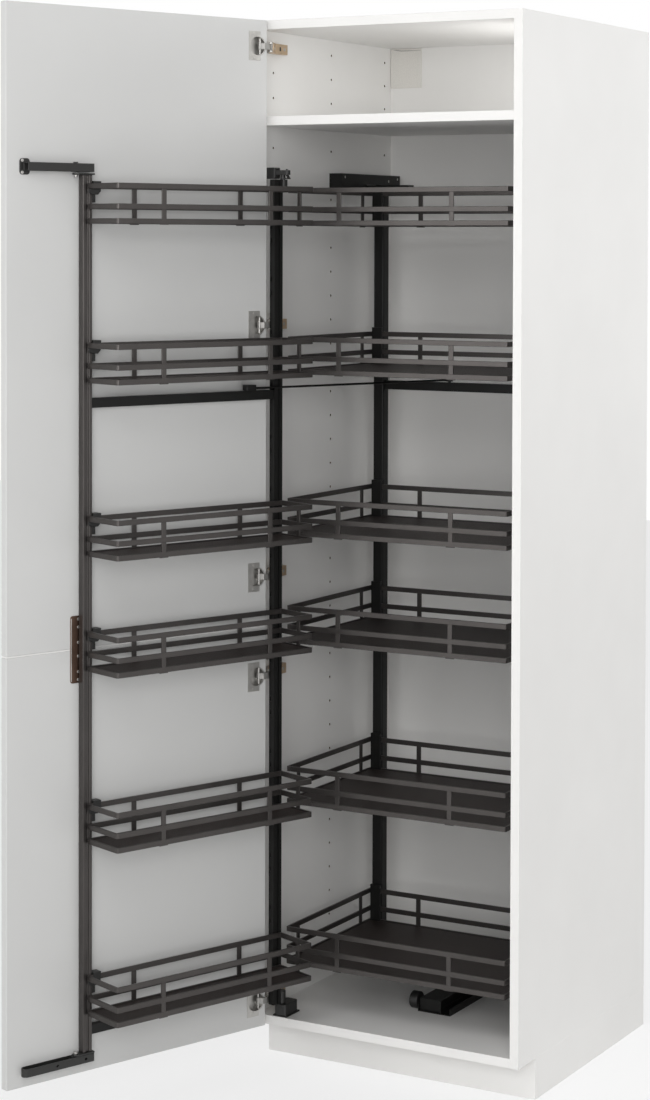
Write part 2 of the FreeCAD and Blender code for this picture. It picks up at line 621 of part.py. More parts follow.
def tray_plate(long, deep):
    rim = RAIL_THICK + JOIN
    return box(rim, long - rim, rim, deep - rim, PLATE_LIFT, PLATE_LIFT + TRAY_PLATE)


# Clip on the free post, hooked over the rear rail of a swing tray, with its stem
def door_clip():
    far = POST_FAR - JOIN - DOOR_TRAY_START
    high = TRAY_TALL + CLIP_RISE
    low = high - CLIP_TALL
    rest = TRAY_TALL + JOIN
    front = RAIL_THICK + JOIN
    lip = front + CLIP_LIP
    rail_under = TRAY_TALL - RAIL_TALL
    ring = [(-CLIP_DEEP, low), (-JOIN, low), (-JOIN, rest), (front, rest), (front, rail_under), (lip, rail_under),
            (lip, high), (-CLIP_DEEP, high)]
    stem = box(far - STEM_WIDE, far, -CLIP_DEEP, -JOIN, low - STEM_TALL, low)
    return joined([section_x(ring, far - CLIP_WIDE, far), stem])


# Bracket on a column of the inner frame, hooked over the rear rail and down to the base plate
def inner_bracket(middle):
    half = BRACKET_WIDE / 2
    rear = INNER_TRAY_DEEP - JOIN
    rail_front = INNER_TRAY_DEEP - RAIL_THICK - JOIN
    front = rail_front - BRACKET_THICK
    low = PLATE_LIFT + TRAY_PLATE + JOIN
    rest = TRAY_TALL + JOIN
    high = TRAY_TALL + BRACKET_RISE
    ring = [(front, low), (rail_front, low), (rail_front, rest), (rear, rest), (rear, high), (front, high)]
    return section_x(ring, middle - half, middle + half)


inner_left = INNER_CENTRE - INNER_TRAY_LONG / 2
inner_front = INNER_REAR - INNER_TRAY_DEEP
swing_bases = []
inner_bases = []
for n, z in enumerate(TRAY_ZS):
    to_swing = V(DOOR_TRAY_START, POST_FRONT, z)
    rails = tray_bars(DOOR_TRAY_LONG, DOOR_TRAY_DEEP, DOOR_SHARES, PIVOT_END_SHARES, ())
    rails.append(door_clip())
    save("swing_tray_%d" % (n + 1), [r.translated(to_swing) for r in rails], True)
    swing_bases.append(tray_plate(DOOR_TRAY_LONG, DOOR_TRAY_DEEP).translated(to_swing))
    to_inner = V(inner_left, inner_front, z)
    rails = tray_bars(INNER_TRAY_LONG, INNER_TRAY_DEEP, INNER_SHARES, INNER_END_SHARES, INNER_END_SHARES)
    rails += [inner_bracket(x - inner_left) for x in (COLUMN_LEFT, COLUMN_RIGHT)]
    save("inner_tray_%d" % (n + 1), [r.translated(to_inner) for r in rails])
    inner_bases.append(tray_plate(INNER_TRAY_LONG, INNER_TRAY_DEEP).translated(to_inner))
save("swing_bases", swing_bases, True)
save("inner_bases", inner_bases)

# Inner frame: two columns, cross bars, carriage with axle, arm for the top roller
half_col = COLUMN / 2
columns_out = []
for x in (COLUMN_LEFT, COLUMN_RIGHT):
    column = box(x - half_col, x + half_col, INNER_REAR, INNER_REAR + COLUMN, COLUMN_LOW, COLUMN_HIGH)
    columns_out.append(column.makeFillet(3.0, [e for e in column.Edges if abs(e.tangentAt(0).z) > 0.9]))
save("inner_columns", columns_out)
bars = []
upper_bar = TRAY_ZS[-1] + TRAY_TALL - RAIL_TALL
bar_left = COLUMN_LEFT + half_col
bar_right = COLUMN_RIGHT - half_col
bar_front = COLUMN_Y - INNER_BAR_DEEP / 2
bar_rear = COLUMN_Y + INNER_BAR_DEEP / 2
for low, tall in ((MIDDLE_BAR, BAR_TALL), (LOWER_BAR, BAR_TALL), (upper_bar, RAIL_TALL)):
    bars.append(box(bar_left, bar_right, bar_front, bar_rear, low, low + tall))
save("inner_bars", bars)
track_in = GUIDE_LEFT + GUIDE_WALL + RUNNING
track_out = GUIDE_LEFT + GUIDE_WIDE - GUIDE_WALL - RUNNING
track_z = FLOOR + GUIDE_WALL + RUNNING
wheel_y = GUIDE_FRONT + 17
wheel_z = FLOOR + RUNNING + WHEEL
car_front = GUIDE_FRONT + 5
car_ring = [(car_front, track_z), (bar_rear, track_z), (bar_rear, LOWER_BAR), (bar_front, LOWER_BAR),
            (bar_front - 24, track_z + 24), (car_front, track_z + 24)]
carriage = section_x(car_ring, track_in, track_out)
wheel_x0 = GUIDE_LEFT - 3 - WHEEL_WIDE
axle = peg(AXLE, wheel_x0 - 3, track_in, wheel_y, wheel_z)
axle_head = peg(AXLE + 3, wheel_x0 - 3, wheel_x0 - RUNNING, wheel_y, wheel_z)
save("carriage", [joined([carriage, axle, axle_head])])
wheel = peg(WHEEL, wheel_x0, wheel_x0 + WHEEL_WIDE, wheel_y, wheel_z)
wheel = wheel.makeFillet(2.5, [e for e in wheel.Edges if e.Closed])
wheel = wheel.cut(peg(AXLE + PIN_PLAY, wheel_x0, wheel_x0 + WHEEL_WIDE, wheel_y, wheel_z))
save("floor_wheel", [wheel])
roller_x = INNER_LEFT + TOP_GUIDE_WIDE / 2
roller = TOP_GUIDE_WIDE / 2 - GUIDE_WALL - RUNNING
roller_low = TOP_GUIDE_LOW + 2
plate_right = COLUMN_LEFT + half_col + ARM_PLATE_PAST
plate_top = COLUMN_HIGH + ARM_PLATE
wing_plate = box(roller_x - 10, plate_right, INNER_REAR, INNER_REAR + COLUMN, COLUMN_HIGH, plate_top)
top_stud = drum(AXLE, roller_x, COLUMN_Y, COLUMN_HIGH, roller_low + ROLLER_TALL)
spacer = drum(AXLE + 3, roller_x, COLUMN_Y, COLUMN_HIGH, roller_low - RUNNING)
save("roller_arm", [joined([wing_plate, top_stud, spacer])])
spool = drum(roller, roller_x, COLUMN_Y, roller_low, roller_low + ROLLER_TALL)
spool = spool.cut(drum(AXLE + PIN_PLAY, roller_x, COLUMN_Y, roller_low, roller_low + ROLLER_TALL))
save("top_roller", [spool])

# Guides fixed to the carcass
g0 = GUIDE_LEFT
g1 = GUIDE_LEFT + GUIDE_WIDE
g2 = g1 + GUIDE_WING
base = FLOOR + GUIDE_WALL
crest = FLOOR + GUIDE_TALL
comb = [(g0, FLOOR), (g2, FLOOR), (g2, crest + 2), (g2 - GUIDE_WALL, crest + 2), (g2 - GUIDE_WALL, base),
        (g1, base), (g1, crest), (g1 - GUIDE_WALL, crest), (g1 - GUIDE_WALL, base), (g0 + GUIDE_WALL, base),
        (g0 + GUIDE_WALL, crest), (g0, crest)]
save("floor_guide", [section_y(comb, GUIDE_FRONT, GUIDE_REAR)])
t0 = INNER_LEFT
t1 = INNER_LEFT + TOP_GUIDE_WIDE
lid = TOP_GUIDE_LOW + TOP_GUIDE_TALL
t_in = t0 + GUIDE_WALL
t_out = t1 - GUIDE_WALL
under = lid - GUIDE_WALL
channel = [(t0, TOP_GUIDE_LOW), (t_in, TOP_GUIDE_LOW), (t_in, under), (t_out, under), (t_out, TOP_GUIDE_LOW),
           (t1, TOP_GUIDE_LOW), (t1, lid), (t0, lid)]
front_cap = box(t0, t1, TOP_GUIDE_FRONT, TOP_GUIDE_FRONT + GUIDE_WALL, TOP_GUIDE_LOW, lid)
top_guide = joined([section_y(channel, TOP_GUIDE_FRONT, TOP_GUIDE_REAR), front_cap])
for y, lift in ((TOP_GUIDE_FRONT + 15, 13), (TOP_GUIDE_REAR - 49, 8), (TOP_GUIDE_REAR - 10, 13)):
    top_guide = top_guide.cut(peg(3.0, t_out, t1, y, TOP_GUIDE_LOW + lift))
save("top_guide", [top_guide])

# Push rod with its front block over the swing bar and its eye on a pin of the inner bar
rod_z = MIDDLE_BAR + BAR_TALL + ROD_LIFT
swing_end = turned(ROD_FRONT, ROD_OFF, -TURN)
front_end = (DOOR_X + swing_end[0], DOOR_Y + swing_end[1])
rear_end = (ROD_REAR, COLUMN_Y)
lean = math.degrees(math.atan2(rear_end[1] - front_end[1], rear_end[0] - front_end[0]))
length = math.hypot(rear_end[0] - front_end[0], rear_end[1] - front_end[1])
bar = peg(ROD, 8, length - 4, 0, rod_z)
block = box(-12, 12, -8, 8, rod_z - 4, rod_z + 7)
block = block.makeChamfer(2.0, [e for e in block.Edges if abs(e.tangentAt(0).z) > 0.9])
eye = drum(7, length, 0, rod_z - ROD - 1, rod_z + ROD + 1)
push_rod = joined([bar, block, eye])
push_rod = push_rod.cut(drum(AXLE + PIN_PLAY, length, 0, rod_z - ROD - 1, rod_z + ROD + 1))
push_rod.rotate(V(0, 0, 0), UP, lean)
push_rod.translate(V(front_end[0], front_end[1], 0))
save("push_rod", [push_rod])
save("rod_pin", [drum(AXLE, rear_end[0], rear_end[1], MIDDLE_BAR + BAR_TALL, rod_z + ROD + 2)])
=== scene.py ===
import json
import math

import bmesh
import bpy
from bpy.props import FloatProperty, FloatVectorProperty, PointerProperty
from mathutils import Matrix, Vector


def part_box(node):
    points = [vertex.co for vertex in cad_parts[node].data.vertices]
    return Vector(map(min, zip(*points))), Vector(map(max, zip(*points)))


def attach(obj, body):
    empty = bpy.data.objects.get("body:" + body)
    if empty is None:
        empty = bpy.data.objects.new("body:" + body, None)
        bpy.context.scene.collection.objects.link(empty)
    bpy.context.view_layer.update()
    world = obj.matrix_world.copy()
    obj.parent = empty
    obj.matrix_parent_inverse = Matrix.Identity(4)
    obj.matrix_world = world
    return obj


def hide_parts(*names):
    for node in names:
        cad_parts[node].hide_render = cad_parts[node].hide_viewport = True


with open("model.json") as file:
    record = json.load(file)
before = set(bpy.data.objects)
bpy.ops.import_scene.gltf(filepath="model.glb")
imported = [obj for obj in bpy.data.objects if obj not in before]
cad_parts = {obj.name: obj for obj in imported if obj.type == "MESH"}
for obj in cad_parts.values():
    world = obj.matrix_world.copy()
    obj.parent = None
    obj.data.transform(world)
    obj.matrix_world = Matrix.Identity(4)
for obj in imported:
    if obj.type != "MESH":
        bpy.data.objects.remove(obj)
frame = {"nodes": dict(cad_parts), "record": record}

bl_info = {
    "name": "Larder cabinet",
    "version": (1, 0, 0),
    "blender": (4, 5, 0),
    "location": "View3D > Sidebar > Larder",
    "description": "Dresses a tall larder cabinet and sets its studio",
    "category": "Object",
}

RECORD = frame["record"]
BODY_OF = {node: body for body, nodes in RECORD["behaviour"]["bodies"].items() for node in nodes}
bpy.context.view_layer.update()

# Places on the open door are given as along, off and up: along the door from its hinge edge,
# off its inner face towards the trays, and up from the floor, all in metres
OPEN_ANGLE = math.radians(110.6)
DOOR_CORNER = Vector((-0.253934, -0.313108, 0.0))
DOOR_PLACE = Matrix.Translation(DOOR_CORNER) @ Matrix.Rotation(-OPEN_ANGLE, 4, "Z")
STRAIGHT = Matrix.Identity(4)

# Trays and posts, with the sizes that the solids have; uprights stand at shares of a side
TRAYS = range(1, 7)
POST_FRONT = 0.0186
FREE_POST = 0.4225
DOOR_TRAY_START = -0.024
DOOR_TRAY_LONG = 0.458
DOOR_TRAY_DEEP = 0.101
TRAY_TALL = 0.075
MIDDLE_RAIL = 0.027
RAIL_TALL = 0.010
RAIL_THICK = 0.004
PLATE_TOP = 0.00755
COLUMN = 0.024
DOOR_UPRIGHTS = (0.228, 0.772)
INNER_UPRIGHTS = (0.24, 0.75)
PIVOT_END_UPRIGHT = 0.57
INNER_END_UPRIGHTS = (0.13, 0.87)
FOOT_TOP = 0.002

# Clips on the free post: cap over the rail, tongue that tapers to both ends, stem
CLIP_REAR = 0.0118
CLIP_LIP = 0.0008
CLIP_PLAY = 0.0002
TONGUE_REACH = 0.0095
TONGUE_THICK = 0.003
TONGUE_TALL = 0.0105
TONGUE_NEAR_TALL = 0.004
TONGUE_FAR_TALL = 0.0075
TONGUE_NEAR_TAPER = 0.006
TONGUE_FAR_TAPER = 0.007
STEM_WIDE = 0.007
STEM_DEEP = 0.010
STEM_START = 0.008
BRACKET_THICK = 0.004

# Boards: the line of the edge strip lies EDGE_STRIP behind the front edge. In a side board, faces
# smaller than HOLE_FACE, in square metres, that lie away from both surfaces are in drilled holes
BOARD = 0.018
BOARD_SKIN = 0.0003
EDGE_STRIP = 0.0009
HOLE_FACE = 0.0002

# Hinge arms on the left side board, with their screws and slot placed along Y
ARM_SIDE = -0.266
ARM_EYE = 0.0085
ARM_SCREW = 0.0034
ARM_SCREW_TALL = 0.0008
ARM_SCREW_REAR = -0.228
ARM_SCREW_FRONT = (-0.2629, -0.2694)
ARM_FRONT_FACES = (0.921, 0.389, 0.0)
ARM_SLOT_FRONT = -0.2465
ARM_SLOT_REAR = -0.2415
ARM_SLOT_HALF = 0.004
LEVEL_GAP = 0.03

# Painted shadow line on the fixing cover, a thin dark strip where its upper edge is in shade: along the
# cover and down from its upper edge
SHADOW_LINE_UPPER = ((0.002, 0.0003), (0.013, 0.0018), (0.026, 0.0034), (0.048, 0.0038), (0.0745, 0.0043))
SHADOW_LINE_LOWER = ((0.0745, 0.0047), (0.048, 0.0052), (0.026, 0.0052), (0.013, 0.0034))

# White strip in the seam between the door leaves, a painted highlight where the seam is in shade, and
# bright nickel strip on the plate that ties them, a painted highlight of its edge
SEAM_INSET = 0.001
SEAM_BACK = -0.0175
SEAM_FACE = -0.0003
SEAM_PLAY = 0.0002
TIE_HIGHLIGHT_ALONG = (0.4568, 0.4588)
TIE_HIGHLIGHT_OFF = (0.0012, 0.0024)
TIE_HIGHLIGHT_BELOW = 0.058
TIE_HIGHLIGHT_ABOVE = 0.057

# Guide on the left side board: its lower edge, and rivets placed from its ends and its underside
SKIRT = 0.011
SKIRT_ROOM = 0.004
GUIDE_WALL = 0.002
RIVET = 0.0027
RIVET_TALL = 0.0012
RIVET_SEAT = 0.0016
RIVET_FROM_FRONT = 0.015
RIVETS_FROM_REAR = (0.049, 0.010)
RIVET_HIGH = 0.013
RIVET_LOW = 0.008

# Hairlines: an inlay is let in by SINK and stands out by PROUD, and a piece stays HAIR behind another
SINK = 0.0005
PROUD = 0.0001
HAIR = 0.0004

# Rounding of the edges that no property sets
SCREW_EDGE = 0.0002
FINE_EDGE = 0.0003
SHEET_EDGE = 0.0004
PLATE_EDGE = 0.0005
THIN_EDGE = 0.0006
LEG_EDGE = 0.0008
ARM_EDGE = 0.0009

# How meshes are merged, eased and shaded
SAME_PLACE = 1e-6
FLAT_ANGLE = math.radians(0.5)
SHARP_ANGLE = math.radians(35)
EASED_ANGLE = math.radians(40)
FLAT_WEIGHT = 90
HEAD_SIDES = 24
CORNER_STEPS = 5
DRIVE_RIM = 0.45
DRIVE_DEPTH = 0.6

# Sockets of a colour mix node, which share their names with those of its other data types
MIX_FIRST = 6
MIX_SECOND = 7
MIX_RESULT = 2


class LarderSizes(bpy.types.PropertyGroup):
    """Small sizes of the cabinet's edges and fittings."""

    board_edge: FloatProperty(
        name="Board edge", description="Rounding of the board edges",
        default=0.0006, unit="LENGTH")
    metal_edge: FloatProperty(
        name="Metal edge", description="Rounding of the lacquered metal edges",
        default=0.0005, unit="LENGTH")
    plastic_edge: FloatProperty(
        name="Plastic edge", description="Rounding of the moulded edges",
        default=0.0011, unit="LENGTH")
    rail_corner: FloatProperty(
        name="Rail corner", description="Outer radius of a tray rail's bent corner",
        default=0.0046, unit="LENGTH")
    rail_edge: FloatProperty(
        name="Rail edge", description="Rounding of the tray rails' edges",
        default=0.0006, unit="LENGTH")
    upright_width: FloatProperty(
        name="Upright width", description="Width of the uprights between the rails",
        default=0.010, unit="LENGTH")
    upright_thick: FloatProperty(
        name="Upright thickness", description="Thickness of the uprights",
        default=0.003, unit="LENGTH")
    foot_length: FloatProperty(
        name="Foot length", description="Length of the welded foot under an upright",
        default=0.019, unit="LENGTH")
    foot_drop: FloatProperty(
        name="Foot drop", description="How far the foot stands below the rail",
        default=0.0014, unit="LENGTH")
    post_edge: FloatProperty(
        name="Post edge", description="Rounding of the posts' long edges",
        default=0.0012, unit="LENGTH")
    clip_width: FloatProperty(
        name="Clip width", description="Width of the clip over a swing tray's rail",
        default=0.017, unit="LENGTH")
    clip_rise: FloatProperty(
        name="Clip rise", description="How far a clip stands above the rail",
        default=0.0045, unit="LENGTH")
    stem_drop: FloatProperty(
        name="Stem drop", description="Length of the clip's stem below the rail",
        default=0.025, unit="LENGTH")
    bracket_width: FloatProperty(
        name="Bracket width", description="Width of a bracket on the inner columns",
        default=0.023, unit="LENGTH")
    bracket_rise: FloatProperty(
        name="Bracket rise", description="How far a bracket stands above the rail",
        default=0.009, unit="LENGTH")


class LarderColours(bpy.types.PropertyGroup):
    """Colours of the cabinet's finishes."""

    board: FloatVectorProperty(
        name="White board", description="Matt white foil on the boards", subtype="COLOR",
        size=3, min=0.0, max=1.0, default=(0.87, 0.862, 0.845))
    # The door's white is set darker than the boards' white, painted shade on the leaves
    door: FloatVectorProperty(
        name="Door", description="Matt white foil on the door leaves", subtype="COLOR",
        size=3, min=0.0, max=1.0, default=(0.68, 0.68, 0.67))
    lacquer: FloatVectorProperty(
        name="Lacquer", description="Anthracite lacquer on the metal fittings", subtype="COLOR",
        size=3, min=0.0, max=1.0, default=(0.073, 0.067, 0.064))
    guide: FloatVectorProperty(
        name="Guide black", description="Darker lacquer on guides and pivots", subtype="COLOR",
        size=3, min=0.0, max=1.0, default=(0.014, 0.014, 0.013))
    base: FloatVectorProperty(
        name="Tray base", description="Dark foil on the tray bases", subtype="COLOR",
        size=3, min=0.0, max=1.0, default=(0.026, 0.0195, 0.0175))
    nickel: FloatVectorProperty(
        name="Nickel", description="Nickel plating of the hinges", subtype="COLOR",
        size=3, min=0.0, max=1.0, default=(0.52, 0.51, 0.49))
    warm_nickel: FloatVectorProperty(
        name="Warm nickel", description="Brownish plating of the hinge arms", subtype="COLOR",
        size=3, min=0.0, max=1.0, default=(0.60, 0.46, 0.32))
    bronze: FloatVectorProperty(
        name="Bronze", description="Bronze lacquer on the plate between the leaves", subtype="COLOR",
        size=3, min=0.0, max=1.0, default=(0.16, 0.102, 0.076))
    moulded: FloatVectorProperty(
        name="Black plastic", description="Moulded black plastic", subtype="COLOR",
        size=3, min=0.0, max=1.0, default=(0.012, 0.012, 0.0115))
    cover: FloatVectorProperty(
        name="White plastic", description="White plastic covers", subtype="COLOR",
        size=3, min=0.0, max=1.0, default=(0.78, 0.76, 0.72))
    beech: FloatVectorProperty(
        name="Beech", description="Raw beech dowels", subtype="COLOR",
        size=3, min=0.0, max=1.0, default=(0.56, 0.38, 0.22))
    # Raw chipboard in the holes, set darker as painted shade inside them
    chipboard_and_hole_shade: FloatVectorProperty(
        name="Chipboard", description="Raw chipboard inside the drilled holes", subtype="COLOR",
        size=3, min=0.0, max=1.0, default=(0.16, 0.12, 0.085))
    floor: FloatVectorProperty(
        name="Floor", description="Pale studio floor", subtype="COLOR",
        size=3, min=0.0, max=1.0, default=(0.88, 0.88, 0.88))


# Node groups that more than one finish uses

def group_sockets(tree, inputs, outputs):
    """Makes a group's sockets, and returns its input and output nodes."""
    for name, kind, value in inputs:
        socket = tree.interface.new_socket(name=name, in_out="INPUT", socket_type=kind)
        if value is not None:
            socket.default_value = value
    for name, kind in outputs:
        tree.interface.new_socket(name=name, in_out="OUTPUT", socket_type=kind)
    return tree.nodes.new("NodeGroupInput"), tree.nodes.new("NodeGroupOutput")


def speckle_group():
    """Fine even grain: a mask from 0 to 1 with small soft spots."""
    tree = bpy.data.node_groups.get("speckle")
    if tree:
        return tree
    tree = bpy.data.node_groups.new("speckle", "ShaderNodeTree")
    inlet, outlet = group_sockets(
        tree,
        [("Vector", "NodeSocketVector", None), ("Scale", "NodeSocketFloat", 800.0),
         ("Detail", "NodeSocketFloat", 3.0),
         ("Low", "NodeSocketFloat", 0.35), ("High", "NodeSocketFloat", 0.65)],
        [("Mask", "NodeSocketFloat")])
    noise = tree.nodes.new("ShaderNodeTexNoise")
    spread = tree.nodes.new("ShaderNodeMapRange")
    link = tree.links.new
    link(inlet.outputs["Vector"], noise.inputs["Vector"])
    link(inlet.outputs["Scale"], noise.inputs["Scale"])
    link(inlet.outputs["Detail"], noise.inputs["Detail"])
    link(noise.outputs["Fac"], spread.inputs["Value"])
    link(inlet.outputs["Low"], spread.inputs["From Min"])
    link(inlet.outputs["High"], spread.inputs["From Max"])
    link(spread.outputs["Result"], outlet.inputs["Mask"])
    return tree


def streak_group():
    """Fine streaks along one axis, as on brushed metal or wood-like foil."""
    tree = bpy.data.node_groups.get("streaks")
    if tree:
        return tree
    tree = bpy.data.node_groups.new("streaks", "ShaderNodeTree")
    inlet, outlet = group_sockets(
        tree,
        [("Vector", "NodeSocketVector", None), ("Stretch", "NodeSocketVector", (1.0, 1.0, 1.0)),
         ("Scale", "NodeSocketFloat", 400.0)],
        [("Mask", "NodeSocketFloat")])
    stretch = tree.nodes.new("ShaderNodeVectorMath")
    stretch.operation = "MULTIPLY"
    noise = tree.nodes.new("ShaderNodeTexNoise")
    noise.inputs["Detail"].default_value = 4.0
    noise.inputs["Roughness"].default_value = 0.62
    spread = tree.nodes.new("ShaderNodeMapRange")
    spread.inputs["From Min"].default_value = 0.3
    spread.inputs["From Max"].default_value = 0.7
    link = tree.links.new
    link(inlet.outputs["Vector"], stretch.inputs[0])
    link(inlet.outputs["Stretch"], stretch.inputs[1])
    link(stretch.outputs["Vector"], noise.inputs["Vector"])
    link(inlet.outputs["Scale"], noise.inputs["Scale"])
    link(noise.outputs["Fac"], spread.inputs["Value"])
    link(spread.outputs["Result"], outlet.inputs["Mask"])
    return tree


def band_group():
    """A hairline where an edge strip meets the face of a board, at one place along Y."""
    tree = bpy.data.node_groups.get("edge_strip_line")
    if tree:
        return tree
    tree = bpy.data.node_groups.new("edge_strip_line", "ShaderNodeTree")
    inlet, outlet = group_sockets(
        tree,
        [("Vector", "NodeSocketVector", None),
         ("Place", "NodeSocketFloat", 0.0), ("Width", "NodeSocketFloat", 0.0003)],
        [("Mask", "NodeSocketFloat")])
    parts = tree.nodes.new("ShaderNodeSeparateXYZ")
    away = tree.nodes.new("ShaderNodeMath")
    away.operation = "SUBTRACT"
    size = tree.nodes.new("ShaderNodeMath")
    size.operation = "ABSOLUTE"
    inside = tree.nodes.new("ShaderNodeMath")
    inside.operation = "LESS_THAN"
    link = tree.links.new
    link(inlet.outputs["Vector"], parts.inputs["Vector"])
    link(parts.outputs["Y"], away.inputs[0])
    link(inlet.outputs["Place"], away.inputs[1])
    link(away.outputs["Value"], size.inputs[0])
    link(size.outputs["Value"], inside.inputs[0])
    link(inlet.outputs["Width"], inside.inputs[1])
    link(inside.outputs["Value"], outlet.inputs["Mask"])
    return tree


class Finish:
    """A material whose nodes read Object coordinates, with short calls to add its effects."""

    def __init__(self, name):
        self.material = bpy.data.materials.new(name)
        self.material.use_nodes = True
        self.tree = self.material.node_tree
        self.shader = self.tree.nodes["Principled BSDF"]
        self.place = self.tree.nodes.new("ShaderNodeTexCoord").outputs["Object"]

    def add(self, kind, **values):
        """A node with values for its inputs, which take an underscore for a space."""
        node = self.tree.nodes.new(kind)
        for name, value in values.items():
            node.inputs[name.replace("_", " ")].default_value = value
        return node

    def link(self, output, target):
        """Joins an output to an input."""
        self.tree.links.new(output, target)

    def group(self, tree, **values):
        """Places an effect on the Object coordinates, and returns its mask."""
        node = self.tree.nodes.new("ShaderNodeGroup")
        node.node_tree = tree
        for name, value in values.items():
            node.inputs[name].default_value = value
        self.link(self.place, node.inputs["Vector"])
        return node.outputs["Mask"]

    def shades(self, mask, low, high):
        """Base colour from low to high over the mask."""
        mix = self.tree.nodes.new("ShaderNodeMix")
        mix.data_type = "RGBA"
        mix.inputs[MIX_FIRST].default_value = (*low, 1.0)
        mix.inputs[MIX_SECOND].default_value = (*high, 1.0)
        self.link(mask, mix.inputs["Factor"])
        self.link(mix.outputs[MIX_RESULT], self.shader.inputs["Base Color"])
        return mix

    def tint(self, mix, mask, colour):
        """Lays another colour over a base colour where the mask is set."""
        over = self.tree.nodes.new("ShaderNodeMix")
        over.data_type = "RGBA"
        over.inputs[MIX_SECOND].default_value = (*colour, 1.0)
        self.link(mix.outputs[MIX_RESULT], over.inputs[MIX_FIRST])
        self.link(mask, over.inputs["Factor"])
        self.link(over.outputs[MIX_RESULT], self.shader.inputs["Base Color"])

    def roughness(self, mask, low, high):
        """Roughness from low to high over the mask."""
        spread = self.add("ShaderNodeMapRange", To_Min=low, To_Max=high)
        self.link(mask, spread.inputs["Value"])
        self.link(spread.outputs["Result"], self.shader.inputs["Roughness"])

    def relief(self, mask, depth, strength):
        """A shallow bump from the mask."""
        bump = self.add("ShaderNodeBump", Strength=strength, Distance=depth)
        self.link(mask, bump.inputs["Height"])
        self.link(bump.outputs["Normal"], self.shader.inputs["Normal"])


def toned(colour, share):
    """A colour made lighter or darker by one share."""
    return tuple(min(1.0, channel * share) for channel in colour)


def make_board(colour):
    """Matt white foil with a hairline where the front edge strip meets the face."""
    finish = Finish("white_board")
    fine = finish.group(speckle_group(), Scale=2600.0, Detail=2.0)
    slow = finish.group(speckle_group(), Scale=5.0, Detail=2.0, Low=0.3, High=0.7)
    mix = finish.shades(slow, toned(colour, 0.975), toned(colour, 1.01))
    strip = finish.group(band_group(), Place=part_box("side_left")[0].y + EDGE_STRIP, Width=0.00022)
    finish.tint(mix, strip, toned(colour, 0.86))
    finish.roughness(fine, low=0.40, high=0.52)
    finish.relief(fine, depth=0.00002, strength=0.5)
    finish.shader.inputs["Specular IOR Level"].default_value = 0.4
    return finish.material


def make_shaded_door(colour):
    """Matt white foil of the door leaves, a little smoother than the boards', in a white set darker than
    the boards' as painted shade on the leaves.
    """
    finish = Finish("white_door_with_shade")
    fine = finish.group(speckle_group(), Scale=2200.0, Detail=2.0)
    slow = finish.group(speckle_group(), Scale=4.0, Detail=2.0, Low=0.3, High=0.7)
    finish.shades(slow, toned(colour, 0.975), toned(colour, 1.01))
    finish.roughness(fine, low=0.36, high=0.46)
    finish.relief(fine, depth=0.00002, strength=0.4)
    finish.shader.inputs["Specular IOR Level"].default_value = 0.45
    return finish.material


def make_lacquer(name, colour, rough, metal, shine):
    """Powder lacquer with a fine grain and small lighter grains."""
    finish = Finish(name)
    finish.shader.inputs["Metallic"].default_value = metal
    finish.shader.inputs["Specular IOR Level"].default_value = shine
    grain = finish.group(speckle_group(), Scale=1900.0, Detail=3.0, Low=0.3, High=0.7)
    slow = finish.group(speckle_group(), Scale=24.0, Detail=2.0, Low=0.3, High=0.7)
    mix = finish.shades(slow, toned(colour, 0.93), toned(colour, 1.07))
    sparks = finish.group(speckle_group(), Scale=3600.0, Detail=1.0, Low=0.62, High=0.74)
    finish.tint(mix, sparks, toned(colour, 1.5))
    finish.roughness(grain, low=rough - 0.06, high=rough + 0.07)
    finish.relief(grain, depth=0.00004, strength=0.45)
    return finish.material


def make_base(colour):
    """Dark foil of the tray bases, with fine pores along it."""
    finish = Finish("dark_foil")
    pores = finish.group(streak_group(), Stretch=(1.0, 14.0, 14.0), Scale=70.0)
    fine = finish.group(speckle_group(), Scale=1500.0, Detail=3.0)
    finish.shades(pores, toned(colour, 0.82), toned(colour, 1.2))
    finish.roughness(fine, low=0.46, high=0.6)
    finish.relief(fine, depth=0.00005, strength=0.5)
    finish.shader.inputs["Specular IOR Level"].default_value = 0.32
    return finish.material


def make_plating(name, colour, low, high):
    """Plated metal with faint upright streaks in its gloss."""
    finish = Finish(name)
    streaks = finish.group(streak_group(), Stretch=(6.0, 6.0, 0.5), Scale=500.0)
    slow = finish.group(speckle_group(), Scale=60.0, Detail=2.0, Low=0.3, High=0.7)
    finish.shades(slow, toned(colour, 0.9), toned(colour, 1.06))
    finish.roughness(streaks, low=low, high=high)
    finish.shader.inputs["Metallic"].default_value = 1.0
    finish.relief(streaks, depth=0.00001, strength=0.3)
    return finish.material


def make_plastic(name, colour, low, high):
    """Moulded plastic with an even fine grain."""
    finish = Finish(name)
    grain = finish.group(speckle_group(), Scale=1300.0, Detail=2.0)
    finish.shades(grain, toned(colour, 0.92), toned(colour, 1.06))
    finish.roughness(grain, low=low, high=high)
    finish.relief(grain, depth=0.00003, strength=0.5)
    return finish.material


def make_beech(colour):
    """Raw beech with its grain along the dowel."""
    finish = Finish("raw_beech")
    grain = finish.group(streak_group(), Stretch=(0.3, 6.0, 6.0), Scale=240.0)
    finish.shades(grain, toned(colour, 0.8), toned(colour, 1.1))
    finish.roughness(grain, low=0.6, high=0.75)
    return finish.material


def make_hole_board_with_shade(colour):
    """Raw chipboard as it shows in a drilled hole, made darker as painted shade."""
    finish = Finish("hole_board_with_shade")
    chips = finish.group(speckle_group(), Scale=420.0, Detail=4.0, Low=0.3, High=0.7)
    finish.shades(chips, toned(colour, 0.6), toned(colour, 1.4))
    finish.roughness(chips, low=0.8, high=0.95)
    finish.relief(chips, depth=0.0002, strength=0.6)
    return finish.material


# Materials made so far, by the name of their finish
FINISHES = {}


